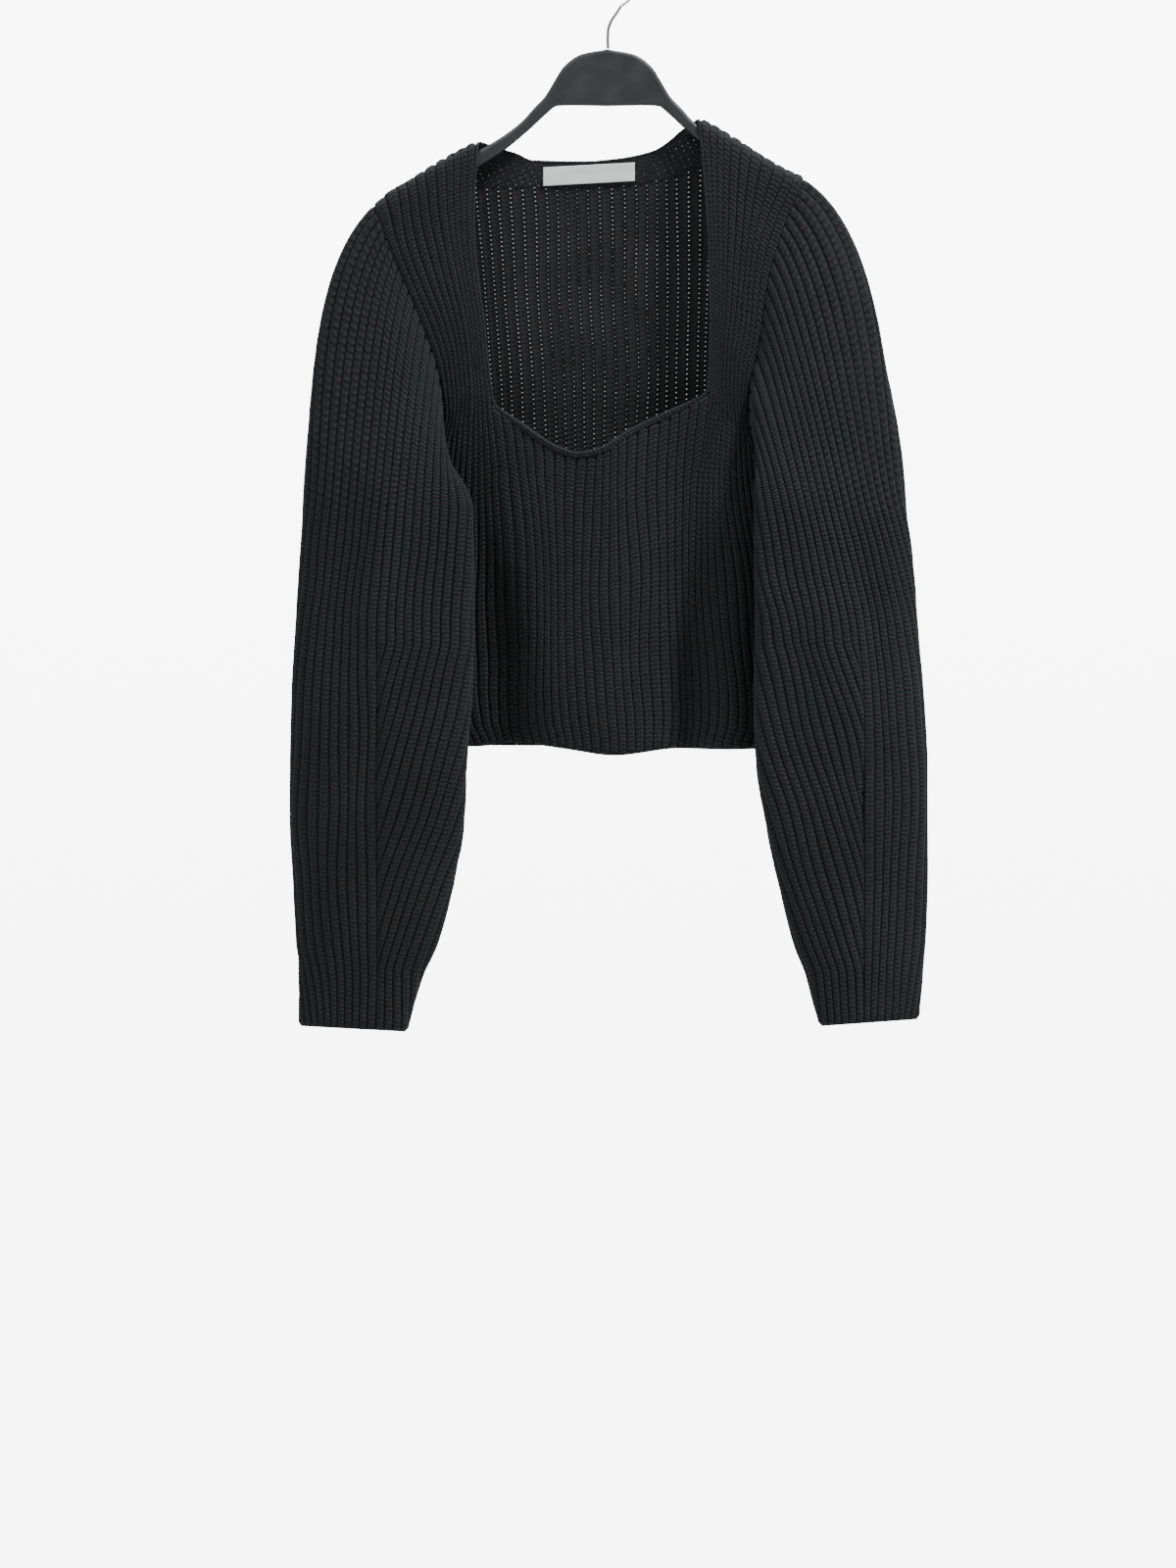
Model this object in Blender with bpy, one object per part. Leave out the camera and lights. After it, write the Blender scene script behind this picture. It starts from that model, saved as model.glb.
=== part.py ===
"""Cropped rib-knit sweater with a sweetheart neckline, hanging on a plain plastic hanger.

Z is up, X runs across the garment and the front faces -Y. The origin is the inside top of
the hanger's hook, where a rail would carry it. Tables are in millimetres, the model in metres.
"left" and "right" are as seen by someone who looks at the front.
"""
import math

import bmesh
import bpy
import numpy as np

MM = 0.001

# Knit wall
WALL = 1.5
RIB_RELIEF = 1.5
SEAM_GAP = 0.3
FULL_WALL = WALL + RIB_RELIEF
LENS_POWER = 0.8
HEM_SPREAD = 0.05
RIDGE_TURN = 0.12
NORMAL_STEP_RIBS = 0.2
NORMAL_STEP_ROWS = 0.02

# Ribs across a body panel, from one side seam to the other
PANEL_RIBS = 50
FRONT_SIDE_RIBS = 3
FRONT_STRAP_RIBS = 11
FRONT_BAND_RIBS = 4
FRONT_BAND_FROM = 0.70
BAND_RELIEF = 0.5
BACK_SIDE_RIBS = 5
BACK_STRAP_RIBS = 10

# Ribs round a sleeve: at the armhole and at the cuff
SLEEVE_RIBS = 42
CUFF_RIBS = 32
SHOULDER_RIB = 10
UNDERARM_RIB = 24

# Rows of points up a panel (0 hem, 1 chest, 2 yoke, 3 shoulder ridge) and down a sleeve
PANEL_ROWS = (0.0, 0.09, 0.3, 0.52, 0.74, 0.9, 1.0)
FRONT_STRAP_ROWS = (1.3, 1.65, 2.0, 2.35, 2.7, 2.9, 2.97, 3.0)
BACK_TOP_ROWS = (1.33, 1.66, 2.0, 2.6, 2.88, 3.0)
CAP_ROWS = (0.0, 0.1, 0.25, 0.45, 0.7)

# Neck edge
BINDING_RADIUS = 2.0
STRAP_BINDING = 0.6
BINDING_GAP = 0.75
BINDING_TURN_GAP = 0.9
SWEETHEART_GAP = 0.45
SWEETHEART_INSET = 5.0
BAND_WALL = 2.0
LABEL_WALL = 0.7
LABEL_LIFT = 0.8
NECK_TURN = 2.5
NECK_STEPS = 18
BEHIND_ARM = 5.2

# Hanger
HANGER_THICKNESS = 8.0
HANGER_EDGE = 3.0
WIRE_RADIUS = 1.3
HOOK_RADIUS = 23.7
HOOK_START_ANGLE = -62.0
HOOK_TIP_ANGLE = 215.0
HOOK_STEPS = 30


def columns(names, rows):
    """Turns rows of numbers into one array for each named column."""
    return {name: np.array(values, float) for name, values in zip(names.split(), zip(*rows))}


# How far the front's ribs are drawn together at the sweetheart
GATHER_X = -3.0
GATHER_WIDTH = 26.0
GATHER_DEPTH = 8.0

# How far the front's ribs drift sideways at mid height, along the edges of its folds
DRIFT = columns("x width shift", [
    (-78, 30, 15),
    (84, 24, -9),
])

# Closed body sections by height: middle and half width of the lens
BODY = columns("z middle half", [
    (-650, 1.0, 161),
    (-640, 0.8, 163),
    (-622, -1.0, 176),
    (-590, -4.0, 184),
    (-514, -8.7, 189),
    (-428, -9.5, 189),
    (-361, -9.5, 190),
    (-277, -11.0, 192),
    (-198, -15.0, 194),
    (-130, -16.0, 195),
])

# Inner depth of the body below the shoulder ridge: over the hanger, and the belly in mid panel
DEPTH = columns("drop over_hanger front_belly back_belly", [
    (0, 0.0, 0, 0),
    (3.5, 5.4, 0, 0),
    (9, 7.5, 0, 0),
    (22, 8.6, 1, 1),
    (60, 8.4, 6, 4),
    (130, 6.0, 16, 9),
    (190, 2.5, 25, 13),
    (224, 0.0, 29, 16),
    (330, 0.0, 33, 20),
    (430, 0.0, 34, 21),
    (520, 0.0, 31, 19),
])

# Outer line of the shoulders where the cloth folds over the hanger
RIDGE = columns("x z", [
    (-205, -207),
    (-188, -203),
    (-175, -192.5),
    (-160, -184),
    (-140, -171),
    (-118, -158.5),
    (-105, -152.5),
    (-60, -145),
    (40, -136),
    (73, -133.8),
    (79, -136),
    (100, -148),
    (127, -165.5),
    (144, -175),
    (158, -181.5),
    (175, -189),
])

# Rails of the front above the chest: armhole and neck edges of the two straps
FRONT_LEFT = columns("v arm_x arm_z neck_x neck_z", [
    (1.0, -139.0, -405, -93.5, -366),
    (1.3, -131.0, -376, -98.0, -333),
    (1.65, -134.5, -344, -101.5, -297),
    (2.0, -143.0, -316, -105.5, -269),
    (2.35, -159.5, -275, -109.5, -230),
    (2.7, -177.5, -233, -109.0, -194),
    (3.0, -188.0, -203, -106.5, -153),
])
FRONT_RIGHT = columns("v arm_x arm_z neck_x neck_z", [
    (1.0, 118.5, -405, 81.5, -358),
    (1.3, 112.5, -376, 83.5, -328),
    (1.65, 114.0, -348, 84.0, -298),
    (2.0, 121.0, -320, 83.5, -269),
    (2.35, 129.0, -264, 82.5, -230),
    (2.7, 140.5, -224, 79.5, -182),
    (3.0, 158.0, -182, 75.0, -135),
])

# The same for the back, whose middle part runs on between the neck rails up to the yoke
BACK_LEFT = columns("v arm_x arm_z neck_x neck_z", [
    (1.0, -150.0, -402, -90.0, -402),
    (1.33, -147.0, -356, -95.0, -330),
    (1.66, -158.0, -294, -100.0, -260),
    (2.0, -177.0, -240, -106.5, -188),
    (2.6, -185.0, -214, -106.5, -165),
    (3.0, -188.0, -203, -106.5, -153),
])
BACK_RIGHT = columns("v arm_x arm_z neck_x neck_z", [
    (1.0, 131.0, -402, 71.0, -402),
    (1.33, 127.0, -352, 73.0, -325),
    (1.66, 135.0, -284, 74.5, -250),
    (2.0, 147.0, -222, 75.0, -172),
    (2.6, 154.5, -194, 75.0, -148),
    (3.0, 158.0, -182, 75.0, -135),
])

# Lower armhole curve from the side seam inwards, as parts of the way to the strap
UNDERARM_Z = -428.5
UNDERARM_CURVE = columns("part x_part z_part", [
    (0.0, 0.0, 0.0),
    (0.35, 0.35, 0.15),
    (0.7, 0.72, 0.5),
    (1.0, 1.0, 1.0),
])

# Panel edges: the sweetheart, the back of the yoke, the back neck and the two hems
SWEETHEART = columns("x z", [
    (-95.0, -365.5),
    (-61.0, -392.5),
    (-40.0, -405.0),
    (-24.5, -409.3),
    (-8.0, -406.8),
    (21.0, -389.8),
    (57.0, -372.5),
    (82.0, -357.5),
])
YOKE = columns("x z", [
    (-107, -188),
    (-60, -188.5),
    (0, -188),
    (45, -182),
    (75, -172),
])
BACK_NECK = columns("x z", [
    (-107, -154),
    (-84, -161.5),
    (-74, -164.5),
    (-61, -170),
    (-20, -171),
    (10, -168.5),
    (37, -162.5),
    (49, -155.5),
    (60, -146),
    (75, -136),
])
FRONT_HEM = columns("x z", [
    (-165, -640),
    (-108, -641.5),
    (-75, -638.5),
    (-36, -643.3),
    (5.5, -648.8),
    (58, -643),
    (95, -644),
    (165, -641),
])
BACK_HEM = columns("x z", [
    (-165, -640),
    (0, -641),
    (165, -641),
])

# Large soft folds of the body, outwards where the height is positive
BODY_FOLDS = columns("face x_top z_top x_bottom z_bottom width height", [
    (-1, 67, -365, 66, -600, 20, -15),
    (-1, 64, -480, 62, -700, 14, -6),
    (-1, 118, -380, 102, -560, 20, 13),
    (-1, -116, -360, -79, -620, 26, -18),
    (-1, -150, -400, -114, -640, 30, -14),
    (-1, -6, -330, 4, -560, 26, 4),
    (-1, 2, -560, 4, -670, 34, 4),
    (1, -70, -420, -58, -650, 24, 6),
    (1, 52, -400, 70, -640, 22, 7),
    (1, -4, -470, 6, -650, 20, -5),
])

# Sleeves below the armhole: edges across, inner half depth and how far forward each edge is
LEFT_SLEEVE = columns("z outer inner half_depth outer_y inner_y seam_line tilt", [
    (-452, -246.5, -107.5, 16, -18, -64, -176, 0),
    (-500, -249.5, -107.0, 19, -15, -61, -180, 0),
    (-545, -252.0, -107.0, 20, -16, -60, -184, 0),
    (-600, -255.5, -108.5, 21, -16, -57, -185, 0),
    (-650, -256.5, -112.5, 21, -15, -54, -185, 0),
    (-700, -256.5, -114.5, 20, -14, -50, -185, 0),
    (-750, -254.0, -123.0, 18, -12, -45, -185, 0),
    (-800, -251.5, -136.5, 16, -10, -40, -185, 0.5),
    (-822, -249.5, -147.0, 15, -10, -37, -185, 1),
    (-848, -249.5, -155.5, 14, -10, -35, -186, 2),
    (-869, -249.5, -161.0, 14, -10, -34, -187, 2),
])
RIGHT_SLEEVE = columns("z outer inner half_depth outer_y inner_y seam_line tilt", [
    (-452, 241.5, 117.0, 16, -17, -60, 178, 0),
    (-500, 247.5, 117.5, 19, -15, -58, 190, 0),
    (-545, 250.5, 118.0, 20, -16, -57, 200, 0),
    (-600, 254.5, 117.0, 21, -16, -55, 205, 0),
    (-650, 257.0, 118.5, 21, -15, -52, 206, 0),
    (-700, 257.5, 126.0, 20, -14, -49, 206, 0),
    (-750, 258.5, 136.5, 18, -12, -44, 206, 0),
    (-800, 257.0, 149.5, 16, -10, -39, 206, 0.5),
    (-822, 255.0, 158.5, 15, -10, -36, 206, 1),
    (-848, 253.0, 165.5, 14, -10, -34, 206, 2),
    (-864, 251.5, 170.5, 14, -10, -33, 206, 2.5),
])
SLEEVE_SECTION_POWER = 2.3
ARMHOLE_CENTRE = np.array([172.0, 0.0, -300.0])
DECREASE_TOP_Z = -560
DECREASE_END_Z = -822

# How the sleeve's knit leaves the armhole, by ribs round from the shoulder over the front:
# part of the seam's length, gap beside the seam, how far the rib keeps to its first direction,
# and that direction outwards on each sleeve, forwards and up
CAP_START = columns("rib part gap pull left right forwards up", [
    (0, 0.0, 0.6, 0.90, 0.88, 1.25, 0.00, -0.80),
    (4, 0.11, 0.6, 0.75, 0.50, 0.75, 0.20, -0.88),
    (8, 0.24, 0.6, 0.60, 0.28, 0.45, 0.42, -0.86),
    (12, 0.41, 0.8, 0.60, 0.12, 0.25, 0.68, -0.72),
    (16, 0.60, 1.2, 0.75, 0.02, 0.05, 0.95, -0.35),
    (20, 0.79, 4.2, 0.95, 0.00, 0.00, 1.00, 0.50),
    (24, 0.91, 6.0, 0.95, 0.00, 0.00, 1.00, 1.00),
    (28, 1.0, 3.6, 0.95, 0.15, 0.15, 1.00, 0.70),
    (32, 0.714, 3.0, 0.95, 0.45, 0.45, 0.70, 0.00),
    (36, 0.429, 1.6, 0.95, 0.80, 0.90, -0.15, -0.50),
    (39, 0.214, 0.8, 0.95, 0.85, 1.10, -0.40, -0.70),
    (42, 0.0, 0.6, 0.90, 0.88, 1.25, 0.00, -0.80),
])
CAP_END_PULL = 0.75
CAP_LEAST_REACH = 60.0
CAP_STEP = 20.0
SEAM_STEP = 0.4

# Large soft folds along the sleeves, by rib and height
SLEEVE_FOLDS = columns("side rib z_top z_bottom width height", [
    (-1, 0.0, -420, -600, 1.8, 3.5),
    (-1, 5.0, -400, -640, 2.2, -2.5),
    (-1, 36.0, -520, -760, 3.0, 2.0),
    (1, 2.5, -430, -640, 2.0, -3.0),
    (1, 38.0, -420, -660, 2.5, 2.5),
    (1, 6.0, -520, -760, 2.0, 2.0),
    (-1, 18.0, -560, -760, 2.0, 2.5),
    (1, 19.0, -540, -780, 2.0, 2.5),
])

# Blank woven label on the inside of the back neck
LABEL_TOP = columns("x z", [(-52, -173.5), (22, -169.5)])
LABEL_HEIGHT = 15.0
LABEL_STEPS = 8

# Right half of the hanger's outline, from the middle outwards
HANGER_TOP = columns("x z", [
    (0, -78.5),
    (21, -82.5),
    (35, -92),
    (43.5, -105),
    (50.5, -116.5),
    (59, -125.5),
    (69, -136.5),
    (83, -147.5),
    (100, -158),
    (138, -179.4),
    (150, -187),
    (157, -194),
])
HANGER_BOTTOM = columns("x z", [
    (0, -124.5),
    (30, -124),
    (41, -124.5),
    (49, -130.5),
    (62, -142.5),
    (83, -160),
    (100, -171),
    (138, -192.4),
    (150, -199.4),
    (156, -201.5),
])
STEM = columns("x z", [
    (0.4, -78.1),
    (0.2, -72),
    (0.4, -64),
    (2.6, -56.5),
    (7.6, -49.0),
])


def read(table, key, name, at):
    """Reads a smooth curve through a table's column, without overshoot between its rows."""
    xs = table[key]
    ys = table[name]
    step = np.diff(xs)
    rise = np.diff(ys) / step
    slope = np.zeros_like(ys)
    inner = np.where(rise[1:] * rise[:-1] > 0, rise[1:] + rise[:-1], 1.0)
    slope[1:-1] = np.where(rise[1:] * rise[:-1] > 0, 2 * rise[1:] * rise[:-1] / inner, 0.0)
    slope[0] = rise[0]
    slope[-1] = rise[-1]
    at = np.clip(at, xs[0], xs[-1])
    i = np.clip(np.searchsorted(xs, at) - 1, 0, len(step) - 1)
    t = (at - xs[i]) / step[i]
    ends = (1 + 2 * t) * (1 - t) ** 2 * ys[i] + t * t * (3 - 2 * t) * ys[i + 1]
    bends = t * (1 - t) ** 2 * slope[i] + t * t * (t - 1) * slope[i + 1]
    return ends + bends * step[i]


def read_down(table, name, z):
    """Reads a table whose heights run downwards."""
    flipped = {"z": -table["z"], name: table[name]}
    return read(flipped, "z", name, -np.asarray(z, float))


def mix(a, b, t):
    return a + (b - a) * t


def body_side(z):
    return read(BODY, "z", "middle", z), read(BODY, "z", "half", z)


def fold_height(face, x, z):
    """Sum of the body's soft folds at a place."""
    total = np.zeros_like(x)
    folds = BODY_FOLDS
    for i in np.flatnonzero(folds["face"] == face):
        way = np.clip((z - folds["z_top"][i]) / (folds["z_bottom"][i] - folds["z_top"][i]), 0, 1)
        across = (x - mix(folds["x_top"][i], folds["x_bottom"][i], way)) / folds["width"][i]
        total += folds["height"][i] * np.exp(-across ** 2) * np.sin(0.5 * math.pi * way)
    return total


def body_depth(face, x, z):
    """Depth of a panel's plain inner face: face is -1 for the front and 1 for the back."""
    drop = read(RIDGE, "x", "z", x) - FULL_WALL - z
    middle, half = body_side(z)
    across = np.clip((x - middle) / half, -1, 1)
    lens = (1 - across ** 2) ** LENS_POWER
    belly = read(DEPTH, "drop", "front_belly" if face < 0 else "back_belly", drop)
    hanger = read(DEPTH, "drop", "over_hanger", drop)
    return face * (SEAM_GAP / 2 + hanger + (belly + fold_height(face, x, z)) * lens)


def rail(panel, side, kind, v):
    """A point on one of the four rails above the chest."""
    table = panel["left"] if side < 0 else panel["right"]
    x = read(table, "v", kind + "_x", v)
    z = read(table, "v", kind + "_z", v)
    return x, z - FULL_WALL * np.clip(v - 2, 0, 1)


def strap_share(panel, part):
    """Part of the strap's width, from armhole to neck, with the finer ribs by the neck."""
    band = panel["band"]
    if not band:
        return part
    ribs = panel["strap"]
    edge = (ribs - band) / ribs
    wide = mix(0, FRONT_BAND_FROM, part / edge)
    fine = mix(FRONT_BAND_FROM, 1, (part - edge) / (1 - edge))
    return np.where(part < edge, wide, fine)


def chest_line(panel, u):
    """Where each rib crosses the chest line: lower armhole, strap foot and neck edge."""
    side = panel["side"]
    strap = side + panel["strap"]
    flip = u > PANEL_RIBS / 2
    k = np.where(flip, PANEL_RIBS - u, u)
    sign = np.where(flip, 1, -1)
    one = np.ones_like(u)
    arm = [np.where(flip, right, left) for left, right in zip(rail(panel, -1, "arm", one),
                                                              rail(panel, 1, "arm", one))]
    neck = [np.where(flip, right, left) for left, right in zip(rail(panel, -1, "neck", one),
                                                               rail(panel, 1, "neck", one))]
    middle, half = body_side(UNDERARM_Z)
    low = np.clip(k / side, 0, 1)
    x_low = mix(middle + sign * half, arm[0], read(UNDERARM_CURVE, "part", "x_part", low))
    z_low = mix(UNDERARM_Z, arm[1], read(UNDERARM_CURVE, "part", "z_part", low))
    foot = strap_share(panel, np.clip((k - side) / panel["strap"], 0, 1))
    x_foot = mix(arm[0], neck[0], foot)
    z_foot = mix(arm[1], neck[1], foot)
    ends = [rail(panel, end, "neck", 1.0) for end in (-1, 1)]
    part = (u - strap) / (PANEL_RIBS - 2 * strap)
    x_neck = mix(ends[0][0], ends[1][0], part)
    edge = panel["neck_edge"]
    z_straight = mix(ends[0][1], ends[1][1], part)
    z_neck = read(edge, "x", "z", gathered(panel, x_neck, 1.0)) if edge else z_straight
    x = np.where(k < side, x_low, np.where(k < strap, x_foot, x_neck))
    z = np.where(k < side, z_low, np.where(k < strap, z_foot, z_neck))
    return x, z


def gathered(panel, x, v):
    """The front's ribs lie closer together under the sweetheart's point and drift at its folds."""
    if panel["neck_edge"] is None:
        return x
    across = (x - GATHER_X) / GATHER_WIDTH
    moved = x - GATHER_DEPTH * v ** 3 * across * np.exp(-across ** 2)
    for middle, width, shift in zip(DRIFT["x"], DRIFT["width"], DRIFT["shift"]):
        moved = moved + shift * np.exp(-((x - middle) / width) ** 2) * np.sin(math.pi * v)
    return moved


def lower_point(panel, u, v):
    """Ribs between the hem and the chest line."""
    share = 2 * u / PANEL_RIBS - 1
    hem_across = share * (1 + HEM_SPREAD * (1 - share ** 2))
    hem_x = BODY["middle"][1] + BODY["half"][1] * hem_across
    hem_z = read(panel["hem"], "x", "z", hem_x)
    top_x, top_z = chest_line(panel, u)
    middle, half = body_side(top_z)
    top_across = (top_x - middle) / half
    z = mix(hem_z, top_z, v)
    middle, half = body_side(z)
    return gathered(panel, middle + half * mix(hem_across, top_across, v), v), z


def ridge_lift(panel, flip, part):
    """How far the shoulder ridge rises above a straight line between the rails' tops."""
    lift = []
    for side in (-1, 1):
        arm_x, arm_z = rail(panel, side, "arm", 3.0)
        neck_x, neck_z = rail(panel, side, "neck", 3.0)
        ridge = read(RIDGE, "x", "z", mix(arm_x, neck_x, part)) - FULL_WALL
        lift.append(ridge - mix(arm_z, neck_z, part))
    return np.where(flip, lift[1], lift[0])


def upper_point(panel, u, v):
    """Ribs of the straps, and of the back between them, above the chest line."""
    side = panel["side"]
    strap = side + panel["strap"]
    flip = u > PANEL_RIBS / 2
    k = np.where(flip, PANEL_RIBS - u, u)
    part = strap_share(panel, np.clip((k - side) / panel["strap"], 0, 1))
    arm = [np.where(flip, right, left) for left, right in zip(rail(panel, -1, "arm", v),
                                                              rail(panel, 1, "arm", v))]
    neck_left = rail(panel, -1, "neck", v)
    neck_right = rail(panel, 1, "neck", v)
    neck = [np.where(flip, right, left) for left, right in zip(neck_left, neck_right)]
    x = mix(arm[0], neck[0], part)
    z = mix(arm[1], neck[1], part)
    z += ridge_lift(panel, flip, part) * np.clip(v - 2, 0, 1) ** 2
    middle = (u - strap) / (PANEL_RIBS - 2 * strap)
    x_middle = mix(neck_left[0], neck_right[0], middle)
    z_middle = mix(neck_left[1], neck_right[1], middle)
    yoke = read(YOKE, "x", "z", x_middle)
    yoke_ends = [rail(panel, end, "neck", 2.0)[1] for end in (-1, 1)]
    z_middle += (yoke - mix(*yoke_ends, middle)) * np.clip(v - 1, 0, 1) ** 2
    return np.where(k <= strap, x, x_middle), np.where(k <= strap, z, z_middle)


def panel_point(panel, u, v):
    """Inner face of a body panel at rib u and height v, in millimetres."""
    u, v = np.broadcast_arrays(np.asarray(u, float), np.asarray(v, float))
    low_x, low_z = lower_point(panel, u, np.clip(v, 0, 1))
    high_x, high_z = upper_point(panel, u, np.clip(v, 1, 3))
    x = np.where(v > 1, high_x, low_x)
    z = np.where(v > 1, high_z, low_z)
    return np.stack([x, body_depth(panel["face"], x, z), z], -1)


def unit(vectors):
    return vectors / np.maximum(np.linalg.norm(vectors, axis=-1, keepdims=True), 1e-9)


def rib_range(panel, u, v):
    """First and last rib of the stretch of cloth that a place belongs to."""
    strap = panel["side"] + panel["strap"]
    low = np.where(v > 1, panel["side"], 0)
    high = np.where(v > 1, PANEL_RIBS - panel["side"], PANEL_RIBS)
    apart = v > panel["open_from"]
    high = np.where(apart & (u <= PANEL_RIBS / 2), strap, high)
    low = np.where(apart & (u > PANEL_RIBS / 2), PANEL_RIBS - strap, low)
    return low, high


def panel_normal(panel, u, v):
    """Direction out of a panel, turned straight up at the ridge and sideways at the side seam."""
    u, v = np.broadcast_arrays(np.asarray(u, float), np.asarray(v, float))
    low, high = np.where(v > 1, 1.0001, 0.0), np.where(v > 1, 3.0, 1.0)
    first, last = rib_range(panel, u, v)
    du, dv = NORMAL_STEP_RIBS, NORMAL_STEP_ROWS
    step_u = panel_point(panel, np.clip(u + du, first, last), v) - panel_point(
        panel, np.clip(u - du, first, last), v)
    step_v = panel_point(panel, u, np.clip(v + dv, low, high)) - panel_point(
        panel, u, np.clip(v - dv, low, high))
    normal = unit(np.cross(step_u, step_v)) * np.sign(panel["face"]) * -1
    drop = np.clip((3 - v) / RIDGE_TURN, 0, 1)
    normal[..., 1] *= drop
    edge = np.clip(np.minimum(u, PANEL_RIBS - u), 0, 1)
    normal[..., 1] *= np.where(v <= 1, edge, 1)
    return unit(normal)


FRONT = {
    "face": -1, "side": FRONT_SIDE_RIBS, "strap": FRONT_STRAP_RIBS, "band": FRONT_BAND_RIBS,
    "left": FRONT_LEFT, "right": FRONT_RIGHT, "neck_edge": SWEETHEART, "hem": FRONT_HEM,
    "open_from": 1,
}
BACK = {
    "face": 1, "side": BACK_SIDE_RIBS, "strap": BACK_STRAP_RIBS, "band": 0,
    "left": BACK_LEFT, "right": BACK_RIGHT, "neck_edge": None, "hem": BACK_HEM,
    "open_from": 2,
}


def sleeve_ring(sleeve, z, count=240):
    """Closed section of a sleeve at a height, from its seam line outwards and round."""
    outer, inner, half_depth, outer_y, inner_y, line, tilt = (
        read_down(sleeve, name, z)
        for name in ("outer", "inner", "half_depth", "outer_y", "inner_y", "seam_line", "tilt"))
    centre = (outer + inner) / 2
    reach = (outer - inner) / 2
    reach -= math.copysign(FULL_WALL, reach)
    power = 2 / SLEEVE_SECTION_POWER
    at_line = (line - centre) / reach
    first = math.acos(math.copysign(abs(at_line) ** (1 / power), at_line))
    turn = first - np.linspace(0, 2 * math.pi, 2 * count + 1)
    along = np.sign(np.cos(turn)) * np.abs(np.cos(turn)) ** power
    out = np.sign(np.sin(turn)) * np.abs(np.sin(turn)) ** power
    x = centre + reach * along
    y = mix(inner_y, outer_y, (along + 1) / 2) - half_depth * out
    ring = np.stack([x, y, z + tilt * along], -1)
    length = np.concatenate([[0], np.cumsum(np.linalg.norm(np.diff(ring, axis=0), axis=1))])
    return ring, length / length[-1]


def sleeve_count(z):
    """Ribs round the sleeve at a height: they are lost at the seam line towards the cuff."""
    way = np.clip((DECREASE_TOP_Z - z) / (DECREASE_TOP_Z - DECREASE_END_Z), 0, 1)
    return SLEEVE_RIBS - (SLEEVE_RIBS - CUFF_RIBS) * way


def ring_point(sleeve, rib, z):
    """A point of the sleeve's section, by rib from the seam line outwards and round."""
    ring, share = sleeve_ring(sleeve, z)
    at = np.clip(rib / sleeve_count(z), 0, 1)
    return np.array([np.interp(at, share, ring[:, axis]) for axis in range(3)])


def edge_curve(points, part):
    """A point at part of the length of a polyline."""
    length = np.concatenate([[0], np.cumsum(np.linalg.norm(np.diff(points, axis=0), axis=1))])
    return np.array([np.interp(part * length[-1], length, points[:, axis]) for axis in range(3)])


def armhole(panel, side, steps=24):
    """Inner edge of a panel's armhole, from the shoulder to the underarm."""
    upper = np.linspace(3, 1, steps)
    strap_rib = panel["side"] if side < 0 else PANEL_RIBS - panel["side"]
    first = panel_point(panel, strap_rib, upper)
    lower = np.linspace(panel["side"], 0, steps // 3)[1:]
    second = panel_point(panel, lower if side < 0 else PANEL_RIBS - lower, 1.0)
    return np.concatenate([first, second])


ARMHOLES = {
    (side, name): armhole(panel, side)
    for side in (-1, 1)
    for name, panel in (("front", FRONT), ("back", BACK))
}


def seam_point(side, front):
    """Armhole seam by ribs round from the shoulder, over the front and back up behind."""
    front_ribs = (SHOULDER_RIB - UNDERARM_RIB) % SLEEVE_RIBS
    front = front % SLEEVE_RIBS
    part = float(read(CAP_START, "rib", "part", front))
    return edge_curve(ARMHOLES[side, "front" if front <= front_ribs else "back"], part)


def cap_start(side, rib):
    """Where a sleeve rib starts beside the armhole seam, and the way and pull that it leaves with.

    The gap grows where the wall leans over the seam, so that only its outer edge is close."""
    front = (SHOULDER_RIB - rib) % SLEEVE_RIBS
    seam = seam_point(side, front)
    gap, pull, outwards, forwards, up = (
        float(read(CAP_START, "rib", name, front))
        for name in ("gap", "pull", "left" if side < 0 else "right", "forwards", "up"))
    direction = unit(np.array([side * outwards, -forwards, up]))
    along = seam_point(side, front - SEAM_STEP) - seam_point(side, front + SEAM_STEP)
    away = unit(np.array([along[2], 0.0, -along[0]]))
    away *= math.copysign(1.0, away @ (ARMHOLE_CENTRE * (side, 1, 1) - seam))
    normal = unit(np.cross(direction, along)) * side
    lean = max(0.0, -float(normal @ away))
    return seam + away * (gap + FULL_WALL * lean), direction * pull


def cap_point(sleeve, side, rib, t):
    """Smooth way of a rib from the armhole down to the sleeve's first level section."""
    top_z = sleeve["z"][0]
    start, leave = cap_start(side, rib % SLEEVE_RIBS)
    end = ring_point(sleeve, rib, top_z)
    arrive = unit(ring_point(sleeve, rib, top_z - CAP_STEP) - end)
    reach = np.linalg.norm(end - start)
    return ((1 + 2 * t) * (1 - t) ** 2 * start + t * t * (3 - 2 * t) * end
            + t * (1 - t) ** 2 * leave * max(reach, CAP_LEAST_REACH)
            + t * t * (t - 1) * arrive * reach * CAP_END_PULL)


def sleeve_fold(side, rib, z):
    """Sum of the sleeve's soft folds at a place."""
    total = 0.0
    folds = SLEEVE_FOLDS
    for i in np.flatnonzero(folds["side"] == side):
        way = np.clip((z - folds["z_top"][i]) / (folds["z_bottom"][i] - folds["z_top"][i]), 0, 1)
        across = (rib - folds["rib"][i] + SLEEVE_RIBS / 2) % SLEEVE_RIBS - SLEEVE_RIBS / 2
        bell = math.exp(-(across / folds["width"][i]) ** 2)
        total += folds["height"][i] * bell * math.sin(math.pi * way)
    return total


def new_object(name, mesh, material, collection):
    obj = bpy.data.objects.new(name, mesh)
    obj.data.materials.append(material)
    collection.objects.link(obj)
    return obj


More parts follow.
